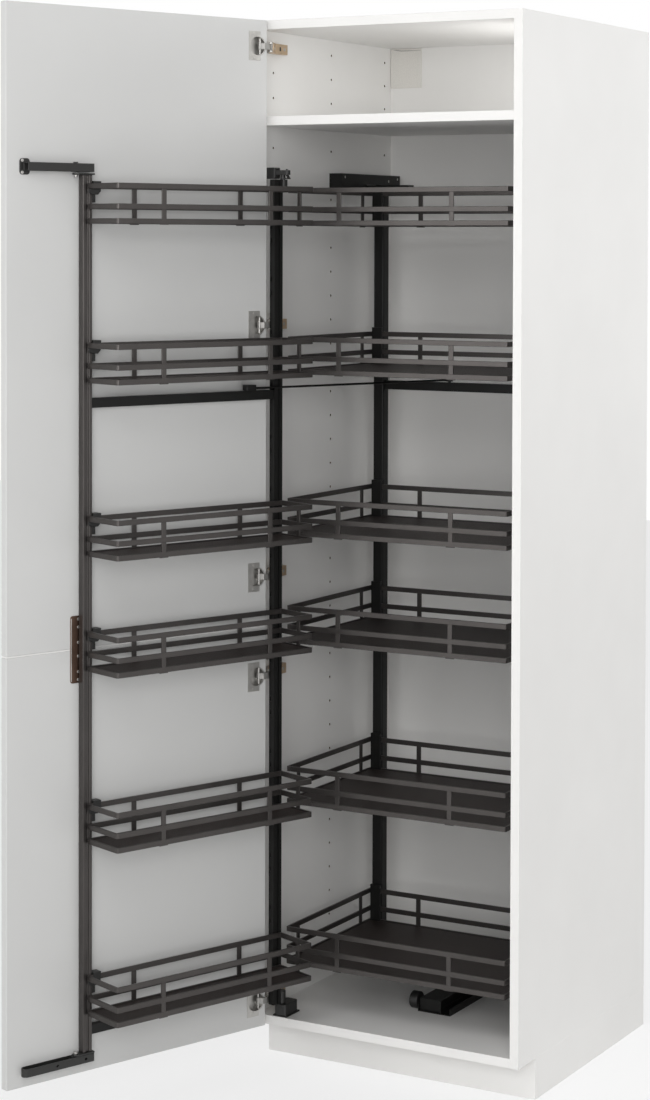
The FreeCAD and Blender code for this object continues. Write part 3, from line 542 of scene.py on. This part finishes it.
def finish_of(name):
    """The material of a finish, made the first time that it is asked for."""
    if name not in FINISHES:
        colours = bpy.context.scene.larder_colours
        makers = {
            "board": lambda: make_board(colours.board),
            # Door white with painted shade in its darker colour
            "door": lambda: make_shaded_door(colours.door),
            "lacquer": lambda: make_lacquer(
                "anthracite_lacquer", colours.lacquer, rough=0.34, metal=0.75, shine=0.5),
            "guide": lambda: make_lacquer("black_lacquer", colours.guide, rough=0.45, metal=0.0, shine=0.5),
            # Black at half the guide black, for guides, posts, bars and the inner frame: partly the parts'
            # own black, partly painted shade where they stand in shade
            "black": lambda: make_lacquer(
                "black_lacquer_with_shade", toned(colours.guide, 0.5), rough=0.42, metal=0.0, shine=0.25),
            "base": lambda: make_base(colours.base),
            "nickel": lambda: make_plating("nickel_plating", colours.nickel, low=0.36, high=0.5),
            "satin_nickel": lambda: make_plating(
                "satin_plating", toned(colours.nickel, 0.72), low=0.4, high=0.55),
            "warm_nickel": lambda: make_plating("warm_plating", colours.warm_nickel, low=0.3, high=0.45),
            "bronze": lambda: make_plating("bronze_lacquer", colours.bronze, low=0.35, high=0.5),
            "moulded": lambda: make_plastic("black_plastic", colours.moulded, low=0.42, high=0.58),
            "cover": lambda: make_plastic("white_plastic", colours.cover, low=0.38, high=0.5),
            # Dark plastic of the strip on the fixing cover, a painted shadow
            "painted_shadow": lambda: make_plastic("cover_shadow_line", toned(colours.cover, 0.4), low=0.6, high=0.75),
            "beech": lambda: make_beech(colours.beech),
            # Raw chipboard darkened with painted shade, for the drilled holes
            "chipboard_and_hole_shade": lambda: make_hole_board_with_shade(colours.chipboard_and_hole_shade),
        }
        FINISHES[name] = makers[name]()
    return FINISHES[name]


# Making and placing pieces

def show(name, bm, body, finish, nodes=(), edge=0.0, segments=2):
    """Turns a bmesh in the row frame into a shown piece on its body, with eased edges."""
    bmesh.ops.recalc_face_normals(bm, faces=bm.faces)
    mesh = bpy.data.meshes.new(name)
    bm.to_mesh(mesh)
    bm.free()
    mesh.shade_smooth()
    mesh.set_sharp_from_angle(angle=SHARP_ANGLE)
    piece = bpy.data.objects.new(name, mesh)
    bpy.context.scene.collection.objects.link(piece)
    mesh.materials.append(finish_of(finish))
    if edge:
        ease = piece.modifiers.new("eased edges", "BEVEL")
        ease.width = edge
        ease.segments = segments
        ease.limit_method = "ANGLE"
        ease.angle_limit = EASED_ANGLE
        ease.harden_normals = True
    level = piece.modifiers.new("flat faces stay flat", "WEIGHTED_NORMAL")
    level.keep_sharp = True
    level.weight = FLAT_WEIGHT
    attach(piece, body)
    if nodes:
        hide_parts(*nodes)
    return piece


def dressed(node, finish, edge=0.0, segments=2):
    """A merged copy of a CAD node, shown in its place with eased edges."""
    bm = bmesh.new()
    bm.from_mesh(frame["nodes"][node].data)
    bmesh.ops.remove_doubles(bm, verts=bm.verts, dist=SAME_PLACE)
    bmesh.ops.dissolve_limit(
        bm, angle_limit=FLAT_ANGLE, use_dissolve_boundaries=False,
        verts=bm.verts, edges=bm.edges, delimit=set())
    return show(node + "_eased", bm, BODY_OF[node], finish, (node,), edge, segments)


def drilled(piece, face_x):
    """Gives the walls and floors of a side board's drilled holes the raw board's finish, which is darkened
    as painted shade.
    """
    mesh = piece.data
    mesh.materials.append(finish_of("chipboard_and_hole_shade"))
    for face in mesh.polygons:
        depth = abs(face.center.x - face_x)
        if face.area < HOLE_FACE and BOARD_SKIN < depth < BOARD - BOARD_SKIN:
            face.material_index = 1


def block(bm, low, high, place=STRAIGHT):
    """A box between two corners, in the frame of place."""
    low = Vector(low)
    high = Vector(high)
    size = high - low
    middle = Matrix.Translation((low + high) / 2) @ Matrix.Diagonal((*size, 1.0))
    bmesh.ops.create_cube(bm, size=1.0, matrix=place @ middle)


def disc(bm, centre, axis, radius, height):
    """A round head standing from centre along axis."""
    axis = Vector(axis).normalized()
    turn = Vector((0, 0, 1)).rotation_difference(axis).to_matrix().to_4x4()
    middle = Matrix.Translation(Vector(centre) + axis * height / 2) @ turn
    made = bmesh.ops.create_cone(
        bm, cap_ends=True, segments=HEAD_SIDES, radius1=radius, radius2=radius, depth=height, matrix=middle)
    return made["verts"]


def screw(bm, centre, axis, radius, height):
    """A screw head with a drive recess."""
    out = Vector(axis).normalized()
    verts = disc(bm, centre, axis, radius, height)
    faces = {face for vert in verts for face in vert.link_faces}
    top = max(faces, key=lambda face: face.calc_center_median().dot(out))
    bmesh.ops.inset_region(bm, faces=[top], thickness=radius * DRIVE_RIM, use_even_offset=True)
    bmesh.ops.translate(bm, verts=top.verts, vec=-out * height * DRIVE_DEPTH)


def prism(bm, outline, depth, place=STRAIGHT):
    """A flat outline in the frame of place, drawn out along depth."""
    face = bm.faces.new([bm.verts.new(place @ Vector(point)) for point in outline])
    drawn = bmesh.ops.extrude_face_region(bm, geom=[face])["geom"]
    far = [item for item in drawn if isinstance(item, bmesh.types.BMVert)]
    bmesh.ops.translate(bm, verts=far, vec=place.to_3x3() @ Vector(depth))


# Small fittings on the carcass and the door

def levels(node):
    """Middle heights of the like pieces of a node, from the lowest up."""
    found = []
    for height in sorted(vert.co.z for vert in frame["nodes"][node].data.vertices):
        if found and height - found[-1][1] < LEVEL_GAP:
            found[-1][1] = height
        else:
            found.append([height, height])
    return [(low + high) / 2 for low, high in found]


def bright_eyes(piece):
    """Gives the eyes at the front of the hinge arms the plating of the cups."""
    mesh = piece.data
    mesh.materials.append(finish_of("nickel"))
    front = min(vert.co.y for vert in mesh.vertices)
    for face in mesh.polygons:
        if face.center.y < front + ARM_EYE:
            face.material_index = 1


def arm_fittings():
    """Adjusting screws on the side of every hinge arm, and a black block in its slot as painted shade."""
    heads = bmesh.new()
    slot_shade = bmesh.new()
    for height in levels("hinge_arms"):
        screw(heads, (ARM_SIDE, ARM_SCREW_REAR, height), (1.0, 0.0, 0.0), ARM_SCREW, ARM_SCREW_TALL)
        screw(heads, (*ARM_SCREW_FRONT, height), ARM_FRONT_FACES, ARM_SCREW, ARM_SCREW_TALL)
        # Black block where the slot opens, painted shade for the slot
        low = (ARM_SIDE - SINK, ARM_SLOT_FRONT, height - ARM_SLOT_HALF)
        high = (ARM_SIDE + PROUD, ARM_SLOT_REAR, height + ARM_SLOT_HALF)
        block(slot_shade, low, high)
    body = BODY_OF["hinge_arms"]
    show("hinge_arm_screws", heads, body, "nickel", edge=SCREW_EDGE)
    show("hinge_arm_slot_shade", slot_shade, body, "moulded")


def cover_shadow_line():
    """Thin dark curved strip along the upper edge of the fixing cover, a painted shadow where that edge is
    in shade.
    """
    low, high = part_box("fixing_covers")
    bm = bmesh.new()
    outline = [(low.x + along, low.y, high.z - down) for along, down in SHADOW_LINE_UPPER + SHADOW_LINE_LOWER]
    prism(bm, outline, (0.0, -PROUD, 0.0))
    show("cover_shadow_line", bm, BODY_OF["fixing_covers"], "painted_shadow")


def seam_highlights():
    """Light strip in the seam between the door leaves and bright nickel strip on the plate that ties them,
    both painted highlights.
    """
    lower_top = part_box("door_lower")[1].z
    upper_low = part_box("door_upper")[0].z
    back = DOOR_PLACE.inverted()
    wide = max((back @ vert.co).x for vert in frame["nodes"]["door_lower"].data.vertices)
    # White board strip filling the seam, a painted highlight
    strip = bmesh.new()
    low = (SEAM_INSET, SEAM_BACK, lower_top + SEAM_PLAY)
    high = (wide - SEAM_INSET, SEAM_FACE, upper_low - SEAM_PLAY)
    block(strip, low, high, DOOR_PLACE)
    show("seam_highlight_strip", strip, BODY_OF["door_lower"], "board")
    # Nickel strip on the tie plate, a painted highlight along its edge
    tie_highlight = bmesh.new()
    low = (TIE_HIGHLIGHT_ALONG[0], TIE_HIGHLIGHT_OFF[0], lower_top - TIE_HIGHLIGHT_BELOW)
    high = (TIE_HIGHLIGHT_ALONG[1], TIE_HIGHLIGHT_OFF[1], upper_low + TIE_HIGHLIGHT_ABOVE)
    block(tie_highlight, low, high, DOOR_PLACE)
    show("tie_highlight_strip", tie_highlight, BODY_OF["leaf_tie"], "nickel", edge=FINE_EDGE)


def guide_skirt():
    """Lower edge of the wall guide, from its front end to where the inner frame's arm stands."""
    low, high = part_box("top_guide")
    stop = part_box("roller_arm")[0].y - SKIRT_ROOM
    inner = high.x - GUIDE_WALL
    rear = low.y + GUIDE_WALL
    ring = [(low.x, low.y), (high.x, low.y), (high.x, stop),
            (inner, stop), (inner, rear), (low.x, rear)]
    bm = bmesh.new()
    prism(bm, [(x, y, low.z - SKIRT) for x, y in ring], (0.0, 0.0, SKIRT + SINK))
    show("guide_skirt", bm, BODY_OF["top_guide"], "black")


def guide_rivets():
    """Bright rivets in the holes of the guide on the left side board."""
    low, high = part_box("top_guide")
    bm = bmesh.new()
    middle, last = RIVETS_FROM_REAR
    places = ((low.y + RIVET_FROM_FRONT, RIVET_HIGH),
              (high.y - middle, RIVET_LOW),
              (high.y - last, RIVET_HIGH))
    for along, up in places:
        disc(bm, (high.x - RIVET_SEAT, along, low.z + up), (1.0, 0.0, 0.0), RIVET, RIVET_TALL)
    show("guide_rivets", bm, BODY_OF["top_guide"], "nickel", edge=FINE_EDGE)


# Pieces of the trays

def post_clip(node, place):
    """Clip that hangs a swing tray on the free post: cap over the rail, tongue and stem below."""
    sizes = bpy.context.scene.larder_sizes
    bm = bmesh.new()
    post = FREE_POST - DOOR_TRAY_START
    near = post - sizes.clip_width
    under = TRAY_TALL - RAIL_TALL
    cap_high = (post - CLIP_PLAY, RAIL_THICK + CLIP_LIP, TRAY_TALL + sizes.clip_rise)
    block(bm, (near, -CLIP_REAR, under), cap_high, place)
    far = post + TONGUE_REACH
    tip = under - TONGUE_TALL
    tongue = [(far, under), (near, under), (near, under - TONGUE_NEAR_TALL),
              (near + TONGUE_NEAR_TAPER, tip), (far - TONGUE_FAR_TAPER, tip),
              (far, under - TONGUE_FAR_TALL)]
    prism(bm, [(along, HAIR, up) for along, up in tongue], (0.0, TONGUE_THICK, 0.0), place)
    stem_low = (post - STEM_WIDE, -STEM_DEEP, under - sizes.stem_drop)
    block(bm, stem_low, (post - HAIR, 0.0, under - STEM_START), place)
    show(node + "_clip", bm, BODY_OF[node], "moulded", edge=sizes.rail_edge)


def column_brackets(node, middles, deep, place):
    """Brackets that hold an inner tray to its columns, from over the rear rail down to the base."""
    sizes = bpy.context.scene.larder_sizes
    bm = bmesh.new()
    rail = deep - RAIL_THICK
    front = rail - BRACKET_THICK
    high = TRAY_TALL + sizes.bracket_rise
    ring = [(front, PLATE_TOP), (rail, PLATE_TOP), (rail, TRAY_TALL),
            (deep, TRAY_TALL), (deep, high), (front, high)]
    for middle in middles:
        start = middle - sizes.bracket_width / 2
        prism(bm, [(start, y, z) for y, z in ring], (sizes.bracket_width, 0.0, 0.0), place)
    show(node + "_brackets", bm, BODY_OF[node], "black", edge=sizes.rail_edge)


def rail_loop(bm, long, deep, low, corner, place):
    """One tray rail bent round all four sides, with its corners rounded."""
    made = bmesh.ops.create_grid(bm, x_segments=1, y_segments=1, size=0.5)
    verts = made["verts"]
    bmesh.ops.scale(bm, vec=(long, deep, 1.0), verts=verts)
    bmesh.ops.translate(bm, vec=(long / 2, deep / 2, low), verts=verts)
    bent = bmesh.ops.bevel(
        bm, geom=verts, affect="VERTICES", offset=corner, segments=CORNER_STEPS, profile=0.5, material=-1)
    face = bent["verts"][0].link_faces[0]
    band = bmesh.ops.inset_region(
        bm, faces=[face], thickness=RAIL_THICK, use_even_offset=True, use_boundary=True)["faces"]
    bmesh.ops.delete(bm, geom=[face], context="FACES_ONLY")
    raised = bmesh.ops.extrude_face_region(bm, geom=band)["geom"]
    top = [item for item in raised if isinstance(item, bmesh.types.BMVert)]
    bmesh.ops.translate(bm, vec=(0, 0, RAIL_TALL), verts=top)
    ring = {v for f in band for v in f.verts} | set(top)
    bmesh.ops.transform(bm, matrix=place, verts=list(ring))


def tray_frame(node, long, deep, place, long_shares, ends):
    """Three bent rails, the uprights between them and their welded feet."""
    sizes = bpy.context.scene.larder_sizes
    bm = bmesh.new()
    for low in (0.0, MIDDLE_RAIL, TRAY_TALL - RAIL_TALL):
        rail_loop(bm, long, deep, low, sizes.rail_corner, place)
    half = sizes.upright_width / 2
    inset = (RAIL_THICK - sizes.upright_thick) / 2
    low = RAIL_TALL / 2
    high = TRAY_TALL - RAIL_TALL / 2
    foot = sizes.foot_length / 2
    drop = -sizes.foot_drop
    for share in long_shares:
        for near in (0.0, deep - RAIL_THICK):
            x = long * share
            far = near + RAIL_THICK
            block(bm, (x - half, near + inset, low), (x + half, far - inset, high), place)
            block(bm, (x - foot, near + HAIR, drop), (x + foot, far - HAIR, FOOT_TOP), place)
    for at_far_end, share in ends:
        y = deep * share
        near = (long - RAIL_THICK) if at_far_end else 0.0
        far = near + RAIL_THICK
        block(bm, (near + inset, y - half, low), (far - inset, y + half, high), place)
        block(bm, (near + HAIR, y - foot, drop), (far - HAIR, y + foot, FOOT_TOP), place)
    show(node + "_bent", bm, BODY_OF[node], "lacquer", (node,), sizes.rail_edge)


class LARDER_OT_carcass(bpy.types.Operator):
    """Boards, back panel, shelf, plinth, covers and legs of the carcass"""

    bl_idname = "larder.carcass"
    bl_label = "Carcass"

    def execute(self, context):
        edge = context.scene.larder_sizes.board_edge
        for node in ("top_board", "floor_board", "fixed_shelf", "rear_battens", "plinth"):
            dressed(node, "board", edge)
        drilled(dressed("side_left", "board", edge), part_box("side_left")[1].x)
        drilled(dressed("side_right", "board", edge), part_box("side_right")[0].x)
        dressed("back_panel", "board")
        dressed("fixing_covers", "cover", THIN_EDGE)
        # Painted shadow line along the fixing cover's upper edge
        cover_shadow_line()
        dressed("legs", "moulded", LEG_EDGE)
        dressed("shelf_dowels", "beech", PLATE_EDGE)
        return {"FINISHED"}


class LARDER_OT_doors(bpy.types.Operator):
    """Two door leaves and the plate that ties them"""

    bl_idname = "larder.doors"
    bl_label = "Doors"

    def execute(self, context):
        sizes = context.scene.larder_sizes
        dressed("door_upper", "door")
        dressed("door_lower", "door")
        dressed("leaf_tie", "bronze", sizes.metal_edge)
        dressed("leaf_tie_screws", "nickel", SHEET_EDGE)
        # Painted highlights in the seam and on the tie plate
        seam_highlights()
        return {"FINISHED"}


class LARDER_OT_hinges(bpy.types.Operator):
    """Concealed hinges with their cups, links, arms and wall plates"""

    bl_idname = "larder.hinges"
    bl_label = "Hinges"

    def execute(self, context):
        dressed("hinge_cups", "nickel", FINE_EDGE)
        dressed("hinge_screws", "nickel", FINE_EDGE)
        dressed("hinge_links", "satin_nickel", PLATE_EDGE)
        bright_eyes(dressed("hinge_arms", "warm_nickel", ARM_EDGE))
        arm_fittings()
        dressed("hinge_wall_plates", "nickel", PLATE_EDGE)
        return {"FINISHED"}


class LARDER_OT_guides(bpy.types.Operator):
    """Guides and pivots on the door and on the carcass"""

    bl_idname = "larder.guides"
    bl_label = "Guides and pivots"

    def execute(self, context):
        sizes = context.scene.larder_sizes
        for node in ("top_arm", "lower_rail"):
            dressed(node, "guide", SHEET_EDGE)
        for node in ("floor_guide", "top_guide"):
            dressed(node, "black", SHEET_EDGE)
        guide_skirt()
        guide_rivets()
        for node in ("floor_pivot", "top_pivot"):
            dressed(node, "moulded", sizes.plastic_edge)
        dressed("top_arm_screws", "nickel", SHEET_EDGE)
        dressed("runners", "moulded", sizes.plastic_edge)
        return {"FINISHED"}


class LARDER_OT_swing_frame(bpy.types.Operator):
    """Posts, bars, plates, bolts and sleeves of the swing frame"""

    bl_idname = "larder.swing_frame"
    bl_label = "Swing frame"

    def execute(self, context):
        sizes = context.scene.larder_sizes
        dressed("swing_post_free", "lacquer", sizes.post_edge, segments=3)
        dressed("swing_post_pivot", "black", sizes.post_edge, segments=3)
        dressed("swing_bars", "black", sizes.metal_edge)
        dressed("swing_end_plates", "guide", sizes.metal_edge)
        dressed("swing_bolts", "nickel", PLATE_EDGE)
        dressed("pivot_sleeves", "guide", sizes.metal_edge)
        return {"FINISHED"}


class LARDER_OT_inner_frame(bpy.types.Operator):
    """Columns, bars, carriage, wheel and roller of the inner frame, and the push rod"""

    bl_idname = "larder.inner_frame"
    bl_label = "Inner frame"

    def execute(self, context):
        sizes = context.scene.larder_sizes
        for node in ("inner_columns", "inner_bars", "roller_arm", "rod_pin", "push_rod"):
            dressed(node, "black", sizes.metal_edge)
        dressed("carriage", "black", sizes.plastic_edge)
        dressed("floor_wheel", "moulded", sizes.metal_edge)
        dressed("top_roller", "moulded", sizes.metal_edge)
        return {"FINISHED"}


class LARDER_OT_trays(bpy.types.Operator):
    """Twelve trays of bent rails with their clips, brackets and base plates"""

    bl_idname = "larder.trays"
    bl_label = "Trays"

    def execute(self, context):
        swing_ends = [(False, PIVOT_END_UPRIGHT)]
        inner_ends = [(far, share) for far in (False, True) for share in INNER_END_UPRIGHTS]
        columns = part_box("inner_columns")
        for number in TRAYS:
            node = "swing_tray_%d" % number
            start = Vector((DOOR_TRAY_START, POST_FRONT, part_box(node)[0].z))
            place = DOOR_PLACE @ Matrix.Translation(start)
            tray_frame(node, DOOR_TRAY_LONG, DOOR_TRAY_DEEP, place, DOOR_UPRIGHTS, swing_ends)
            post_clip(node, place)
            node = "inner_tray_%d" % number
            low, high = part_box(node)
            middles = [columns[0].x - low.x + COLUMN / 2, columns[1].x - low.x - COLUMN / 2]
            place = Matrix.Translation(low)
            tray_frame(node, high.x - low.x, high.y - low.y, place, INNER_UPRIGHTS, inner_ends)
            column_brackets(node, middles, high.y - low.y, place)
        dressed("swing_bases", "base", THIN_EDGE)
        dressed("inner_bases", "base", THIN_EDGE)
        return {"FINISHED"}


# Studio: the camera stands as fitted to the picture, and the soft boxes aim at the cabinet

CAMERA_AT = (2.31711, -4.44257, 1.64118)
CAMERA_AZIMUTH = math.radians(28.9372)
CAMERA_PITCH = math.radians(1.378)
CAMERA_ROLL = math.radians(0.1865)
CAMERA_LENS = 80.385
CAMERA_SENSOR = 36.0
CAMERA_SHIFT = (-0.0627, -0.2258)
CAMERA_REACH = 60.0

CABINET_MIDDLE = (0.0, 0.0, 1.1)
SOFT_BOX = (3.0, 2.4)
SKY_LIGHT = 0.35
FLOOR_HALF = 9.0
FLOOR_GLOW = 0.72


def add_camera():
    """Camera at the picture's viewing angle."""
    camera = bpy.data.cameras.new("camera")
    camera.lens = CAMERA_LENS
    camera.sensor_width = CAMERA_SENSOR
    camera.shift_x, camera.shift_y = CAMERA_SHIFT
    camera.clip_end = CAMERA_REACH
    view = bpy.data.objects.new("camera", camera)
    forward = Vector((-math.sin(CAMERA_AZIMUTH) * math.cos(CAMERA_PITCH),
                      math.cos(CAMERA_AZIMUTH) * math.cos(CAMERA_PITCH), -math.sin(CAMERA_PITCH)))
    right = Vector((math.cos(CAMERA_AZIMUTH), math.sin(CAMERA_AZIMUTH), 0.0))
    up = right.cross(forward)
    across = right * math.cos(CAMERA_ROLL) + up * math.sin(CAMERA_ROLL)
    above = up * math.cos(CAMERA_ROLL) - right * math.sin(CAMERA_ROLL)
    turn = Matrix((across, above, -forward)).transposed().to_4x4()
    view.matrix_world = Matrix.Translation(CAMERA_AT) @ turn
    bpy.context.scene.collection.objects.link(view)
    bpy.context.scene.camera = view


def add_lamp(name, place, aim, size, watts):
    """A soft box that lights the cabinet and stays out of the picture itself."""
    lamp = bpy.data.lights.new(name, "AREA")
    lamp.shape = "RECTANGLE"
    lamp.size, lamp.size_y = size
    lamp.energy = watts
    holder = bpy.data.objects.new(name, lamp)
    holder.location = place
    holder.rotation_euler = (Vector(aim) - Vector(place)).to_track_quat("-Z", "Y").to_euler()
    holder.visible_camera = False
    bpy.context.scene.collection.objects.link(holder)


def seen_rays(tree):
    """1 for camera, glossy and transmission rays, and 0 for the rays that carry light."""
    path = tree.nodes.new("ShaderNodeLightPath")
    first = tree.nodes.new("ShaderNodeMath")
    first.operation = "MAXIMUM"
    second = tree.nodes.new("ShaderNodeMath")
    second.operation = "MAXIMUM"
    tree.links.new(path.outputs["Is Camera Ray"], first.inputs[0])
    tree.links.new(path.outputs["Is Glossy Ray"], first.inputs[1])
    tree.links.new(first.outputs["Value"], second.inputs[0])
    tree.links.new(path.outputs["Is Transmission Ray"], second.inputs[1])
    return second.outputs["Value"]


def add_world(strength):
    """Even white light all round, with a white background where it is seen."""
    world = bpy.data.worlds.new("studio")
    bpy.context.scene.world = world
    world.use_nodes = True
    tree = world.node_tree
    light = tree.nodes["Background"]
    light.inputs["Color"].default_value = (1.0, 1.0, 1.0, 1.0)
    light.inputs["Strength"].default_value = strength
    white = tree.nodes.new("ShaderNodeBackground")
    white.inputs["Color"].default_value = (1.0, 1.0, 1.0, 1.0)
    white.inputs["Strength"].default_value = 1.0
    mix = tree.nodes.new("ShaderNodeMixShader")
    tree.links.new(seen_rays(tree), mix.inputs["Fac"])
    tree.links.new(light.outputs["Background"], mix.inputs[1])
    tree.links.new(white.outputs["Background"], mix.inputs[2])
    tree.links.new(mix.outputs["Shader"], tree.nodes["World Output"].inputs["Surface"])


def make_floor(colour):
    """Pale floor that looks nearly white and still takes the cabinet's shadow."""
    material = bpy.data.materials.new("studio_floor")
    material.use_nodes = True
    tree = material.node_tree
    shader = tree.nodes["Principled BSDF"]
    shader.inputs["Base Color"].default_value = (*colour, 1.0)
    shader.inputs["Roughness"].default_value = 0.9
    glow = tree.nodes.new("ShaderNodeEmission")
    glow.inputs["Strength"].default_value = 1.0
    share = tree.nodes.new("ShaderNodeMath")
    share.operation = "MULTIPLY"
    share.inputs[1].default_value = FLOOR_GLOW
    mix = tree.nodes.new("ShaderNodeMixShader")
    tree.links.new(seen_rays(tree), share.inputs[0])
    tree.links.new(share.outputs["Value"], mix.inputs["Fac"])
    tree.links.new(shader.outputs["BSDF"], mix.inputs[1])
    tree.links.new(glow.outputs["Emission"], mix.inputs[2])
    tree.links.new(mix.outputs["Shader"], tree.nodes["Material Output"].inputs["Surface"])
    return material


class LARDER_OT_stage(bpy.types.Operator):
    """Pale floor, soft studio light and the camera"""

    bl_idname = "larder.stage"
    bl_label = "Studio"

    def execute(self, context):
        bm = bmesh.new()
        bmesh.ops.create_grid(bm, x_segments=1, y_segments=1, size=FLOOR_HALF)
        mesh = bpy.data.meshes.new("floor")
        bm.to_mesh(mesh)
        bm.free()
        floor = bpy.data.objects.new("floor", mesh)
        mesh.materials.append(make_floor(context.scene.larder_colours.floor))
        context.scene.collection.objects.link(floor)
        add_world(SKY_LIGHT)
        add_lamp("front_lamp", place=(2.6, -4.9, 2.0), aim=CABINET_MIDDLE, size=SOFT_BOX, watts=104.0)
        add_lamp("left_lamp", place=(-2.3, -4.9, 1.8), aim=CABINET_MIDDLE, size=SOFT_BOX, watts=42.0)
        add_lamp("side_lamp", place=(2.9, 3.1, 2.2), aim=(0.3, 0.0, 1.0), size=(2.4, 2.4), watts=58.0)
        add_lamp("top_lamp", place=(0.8, -3.6, 4.4), aim=(0.0, -0.2, 1.1), size=SOFT_BOX, watts=45.0)
        add_lamp(
            "shelf_lamp", place=(0.25, -0.05, 1.94), aim=(-0.67, -0.05, 2.34), size=(0.4, 0.1), watts=0.36)
        add_camera()
        context.scene.view_settings.view_transform = "Standard"
        return {"FINISHED"}


OPERATORS = (
    LARDER_OT_carcass,
    LARDER_OT_doors,
    LARDER_OT_hinges,
    LARDER_OT_guides,
    LARDER_OT_swing_frame,
    LARDER_OT_inner_frame,
    LARDER_OT_trays,
    LARDER_OT_stage,
)


class LARDER_PT_panel(bpy.types.Panel):
    """Steps that dress the cabinet, and its sizes and colours"""

    bl_idname = "LARDER_PT_panel"
    bl_label = "Larder cabinet"
    bl_space_type = "VIEW_3D"
    bl_region_type = "UI"
    bl_category = "Larder"

    def draw(self, context):
        """Lists the steps, then the sizes and colours."""
        layout = self.layout
        for operator in OPERATORS:
            layout.operator(operator.bl_idname)
        for group in (context.scene.larder_sizes, context.scene.larder_colours):
            for name in group.__annotations__:
                layout.prop(group, name)


CLASSES = (LarderSizes, LarderColours, *OPERATORS, LARDER_PT_panel)


def register():
    """Makes the classes known and puts the sizes and colours on the scene."""
    for item in CLASSES:
        bpy.utils.register_class(item)
    bpy.types.Scene.larder_sizes = PointerProperty(type=LarderSizes)
    bpy.types.Scene.larder_colours = PointerProperty(type=LarderColours)


def unregister():
    """Takes away what register added."""
    del bpy.types.Scene.larder_colours
    del bpy.types.Scene.larder_sizes
    for item in reversed(CLASSES):
        bpy.utils.unregister_class(item)


def main():
    """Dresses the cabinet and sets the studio."""
    register()
    bpy.ops.larder.carcass()
    bpy.ops.larder.doors()
    bpy.ops.larder.hinges()
    bpy.ops.larder.guides()
    bpy.ops.larder.swing_frame()
    bpy.ops.larder.inner_frame()
    bpy.ops.larder.trays()
    bpy.ops.larder.stage()


if __name__ == "__main__":
    main()
